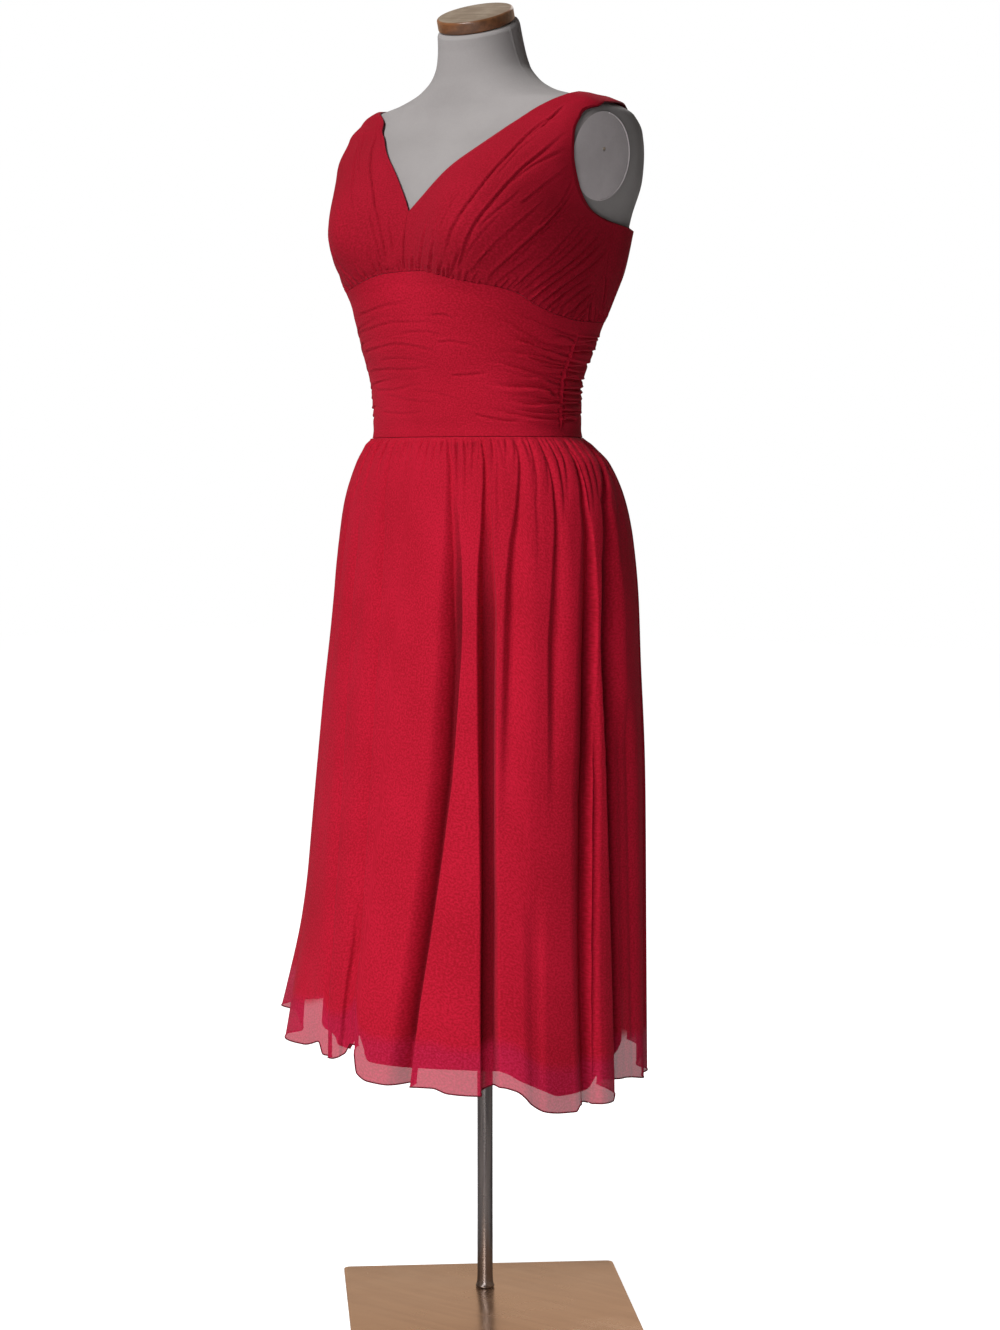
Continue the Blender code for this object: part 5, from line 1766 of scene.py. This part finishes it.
def makeLining(name, node, back, finish):
    rows, columns = skirt["liningRows"], skirt["liningColumns"]
    share = np.linspace(0, 1, rows)
    turn = (0.0 if back else -math.pi) + math.pi * np.linspace(0, 1, columns)
    angle, share = np.meshgrid(turn, share)
    down = 1 - share
    hem = hemHeight(liningHemLine, angle)
    top = cloth["waistSeam"] - skirt["gap"]
    height = hem + (top - hem) * share
    points, normals = skirtPlace(angle, height)
    grown = smoothStep(down * 4)
    out = -cloth["liningInside"] - cloth["foldDepth"] * smoothStep(down * 1.4) ** 0.7 - cloth[
        "liningClearance"
    ] * grown
    out = out + skirt["liningWave"] * np.cos(
        skirt["liningWaves"] * angle
    ) * grown - cloth["deeper"] * smoothStep((down - 0.07) / 0.3)
    points = points + normals * out[..., None]
    shift = skirt["gap"] if back else -skirt["gap"]
    points[:, 0, 1] += shift
    points[:, -1, 1] += shift
    turned = 0.25 * mm * smoothStep((skirt["liningHem"] - (height - hem)) / (1.5 * mm))  # the hem is doubled
    outer = points + normals * (0.5 * mm + turned)[..., None]
    inner = points - normals * (0.5 * mm + turned)[..., None]
    lengths = np.stack([turn[None] * 0.18 + 0 * height, height - hem], axis=-1)
    made = clothShell(name, outer, inner, normals, [finish], lengths)
    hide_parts(node)
    return made


skirtChiffon = makeChiffon("skirtChiffon", sheerBelow=0.040)
liningPoly = makeLiningFinish()
# the hem roll wears the same dark finish: partly its rolled layers, partly painted shade
shadedHemEdge = shadedTurnedEdge
frontOverlay, frontHem = makeOverlay("skirt_front_overlay", "skirt_front", False, skirtChiffon)
backOverlay, backHem = makeOverlay("skirt_back_overlay", "skirt_back", True, skirtChiffon)
frontLining = makeLining("skirt_front_lining_sewn", "skirt_lining_front", False, liningPoly)
backLining = makeLining("skirt_back_lining_sewn", "skirt_lining_back", True, liningPoly)
print("skirt made")

# What rides

pieces = standPieces + bodicePanels + edgePieces + midriffPieces
pieces += [frontOverlay, frontHem, backOverlay, backHem, frontLining, backLining]
for piece in pieces:
    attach(piece, "root")

# Floor, camera and light

studio = {
    "camera": (2.2188, -2.6025, 0.9867),
    "lens": 76.9,
    "pitch": math.radians(3.667),
    "yaw": math.radians(40.144),
    "ambient": 0.012,
    "surroundings": (0.50, 0.355, 0.25, 1),  # what the metal reflects
}
# Soft lamps: bearing from the front towards the wearer's left in degrees, distance, height, size, power,
# height aimed at, and how wide the light spreads in degrees
Lamp = namedtuple("Lamp", "bearing distance height size power aim spread")
lamps = {
    "key": Lamp(-6, 3.2, 4.7, 1.6, 178, 0.85, 180),
    "front": Lamp(14, 4.6, 2.4, 1.4, 58, 0.85, 180),
    "low": Lamp(32, 2.6, 0.45, 0.9, 2.2, 0.30, 60),
    "side": Lamp(98, 2.4, 4.9, 1.6, 1, 1.0, 180),
    "behind": Lamp(200, 3.0, 3.4, 2.0, 16, 0.85, 180),
}


def softLamp(name, lamp):
    bearing = math.radians(lamp.bearing)
    data = bpy.data.lights.new(name, "AREA")
    data.energy, data.shape, data.size, data.spread = lamp.power, "DISK", lamp.size, math.radians(lamp.spread)
    obj = bpy.data.objects.new(name, data)
    obj.location = (math.sin(bearing) * lamp.distance, -math.cos(bearing) * lamp.distance, lamp.height)
    obj.rotation_euler = (Vector((0, 0, lamp.aim)) - obj.location).to_track_quat("-Z", "Y").to_euler()
    bpy.context.scene.collection.objects.link(obj)


def makeStudio():
    scene = bpy.context.scene
    scene.view_settings.view_transform = "Standard"
    camera = bpy.data.objects.new("camera", bpy.data.cameras.new("camera"))
    camera.data.lens = studio["lens"]
    camera.location = studio["camera"]
    camera.rotation_euler = (math.pi / 2 - studio["pitch"], 0, studio["yaw"])
    scene.collection.objects.link(camera)
    scene.camera = camera
    for name, lamp in lamps.items():
        softLamp(name, lamp)
    world = bpy.data.worlds.new("studio")
    scene.world = world
    world.use_nodes = True
    tree = world.node_tree
    shown = tree.nodes["Background"]
    shown.inputs["Color"].default_value = (1, 1, 1, 1)
    shown.inputs["Strength"].default_value = 1.0
    dim = node(tree, "ShaderNodeBackground", {"Color": (0.9, 0.85, 0.8, 1), "Strength": studio["ambient"]})
    around = node(tree, "ShaderNodeBackground", {"Color": studio["surroundings"], "Strength": 1.0})
    seen = node(tree, "ShaderNodeLightPath")
    mirrored = node(tree, "ShaderNodeMixShader")
    tree.links.new(seen.outputs["Is Glossy Ray"], mirrored.inputs["Fac"])
    tree.links.new(dim.outputs[0], mirrored.inputs[1])
    tree.links.new(around.outputs[0], mirrored.inputs[2])
    mixed = node(tree, "ShaderNodeMixShader")
    tree.links.new(seen.outputs["Is Camera Ray"], mixed.inputs["Fac"])
    tree.links.new(mirrored.outputs[0], mixed.inputs[1])
    tree.links.new(shown.outputs[0], mixed.inputs[2])
    tree.links.new(mixed.outputs[0], tree.nodes["World Output"].inputs["Surface"])


def makeFloor():
    made, tree, shader = newFinish("paleFloor", 0.9, specular=0.0)
    shader.inputs["Base Color"].default_value = (0.82, 0.82, 0.82, 1)
    bright = node(tree, "ShaderNodeEmission", {"Color": (1, 1, 1, 1), "Strength": 0.985})
    seen = node(tree, "ShaderNodeLightPath")
    both = node(tree, "ShaderNodeAddShader")
    mixed = node(tree, "ShaderNodeMixShader")
    tree.links.new(shader.outputs[0], both.inputs[0])
    tree.links.new(bright.outputs[0], both.inputs[1])
    tree.links.new(seen.outputs["Is Camera Ray"], mixed.inputs["Fac"])
    tree.links.new(shader.outputs[0], mixed.inputs[1])
    tree.links.new(both.outputs[0], mixed.inputs[2])
    tree.links.new(mixed.outputs[0], tree.nodes["Material Output"].inputs["Surface"])
    size, drop = 12.0, 0.4 * mm
    corners = np.array(
        [(-size, -size, -drop), (size, -size, -drop), (size, size, -drop), (-size, size, -drop)]
    )
    addMesh("floor", corners, [[(0, 1, 2, 3)]], [made])


makeStudio()
makeFloor()
print("studio made")
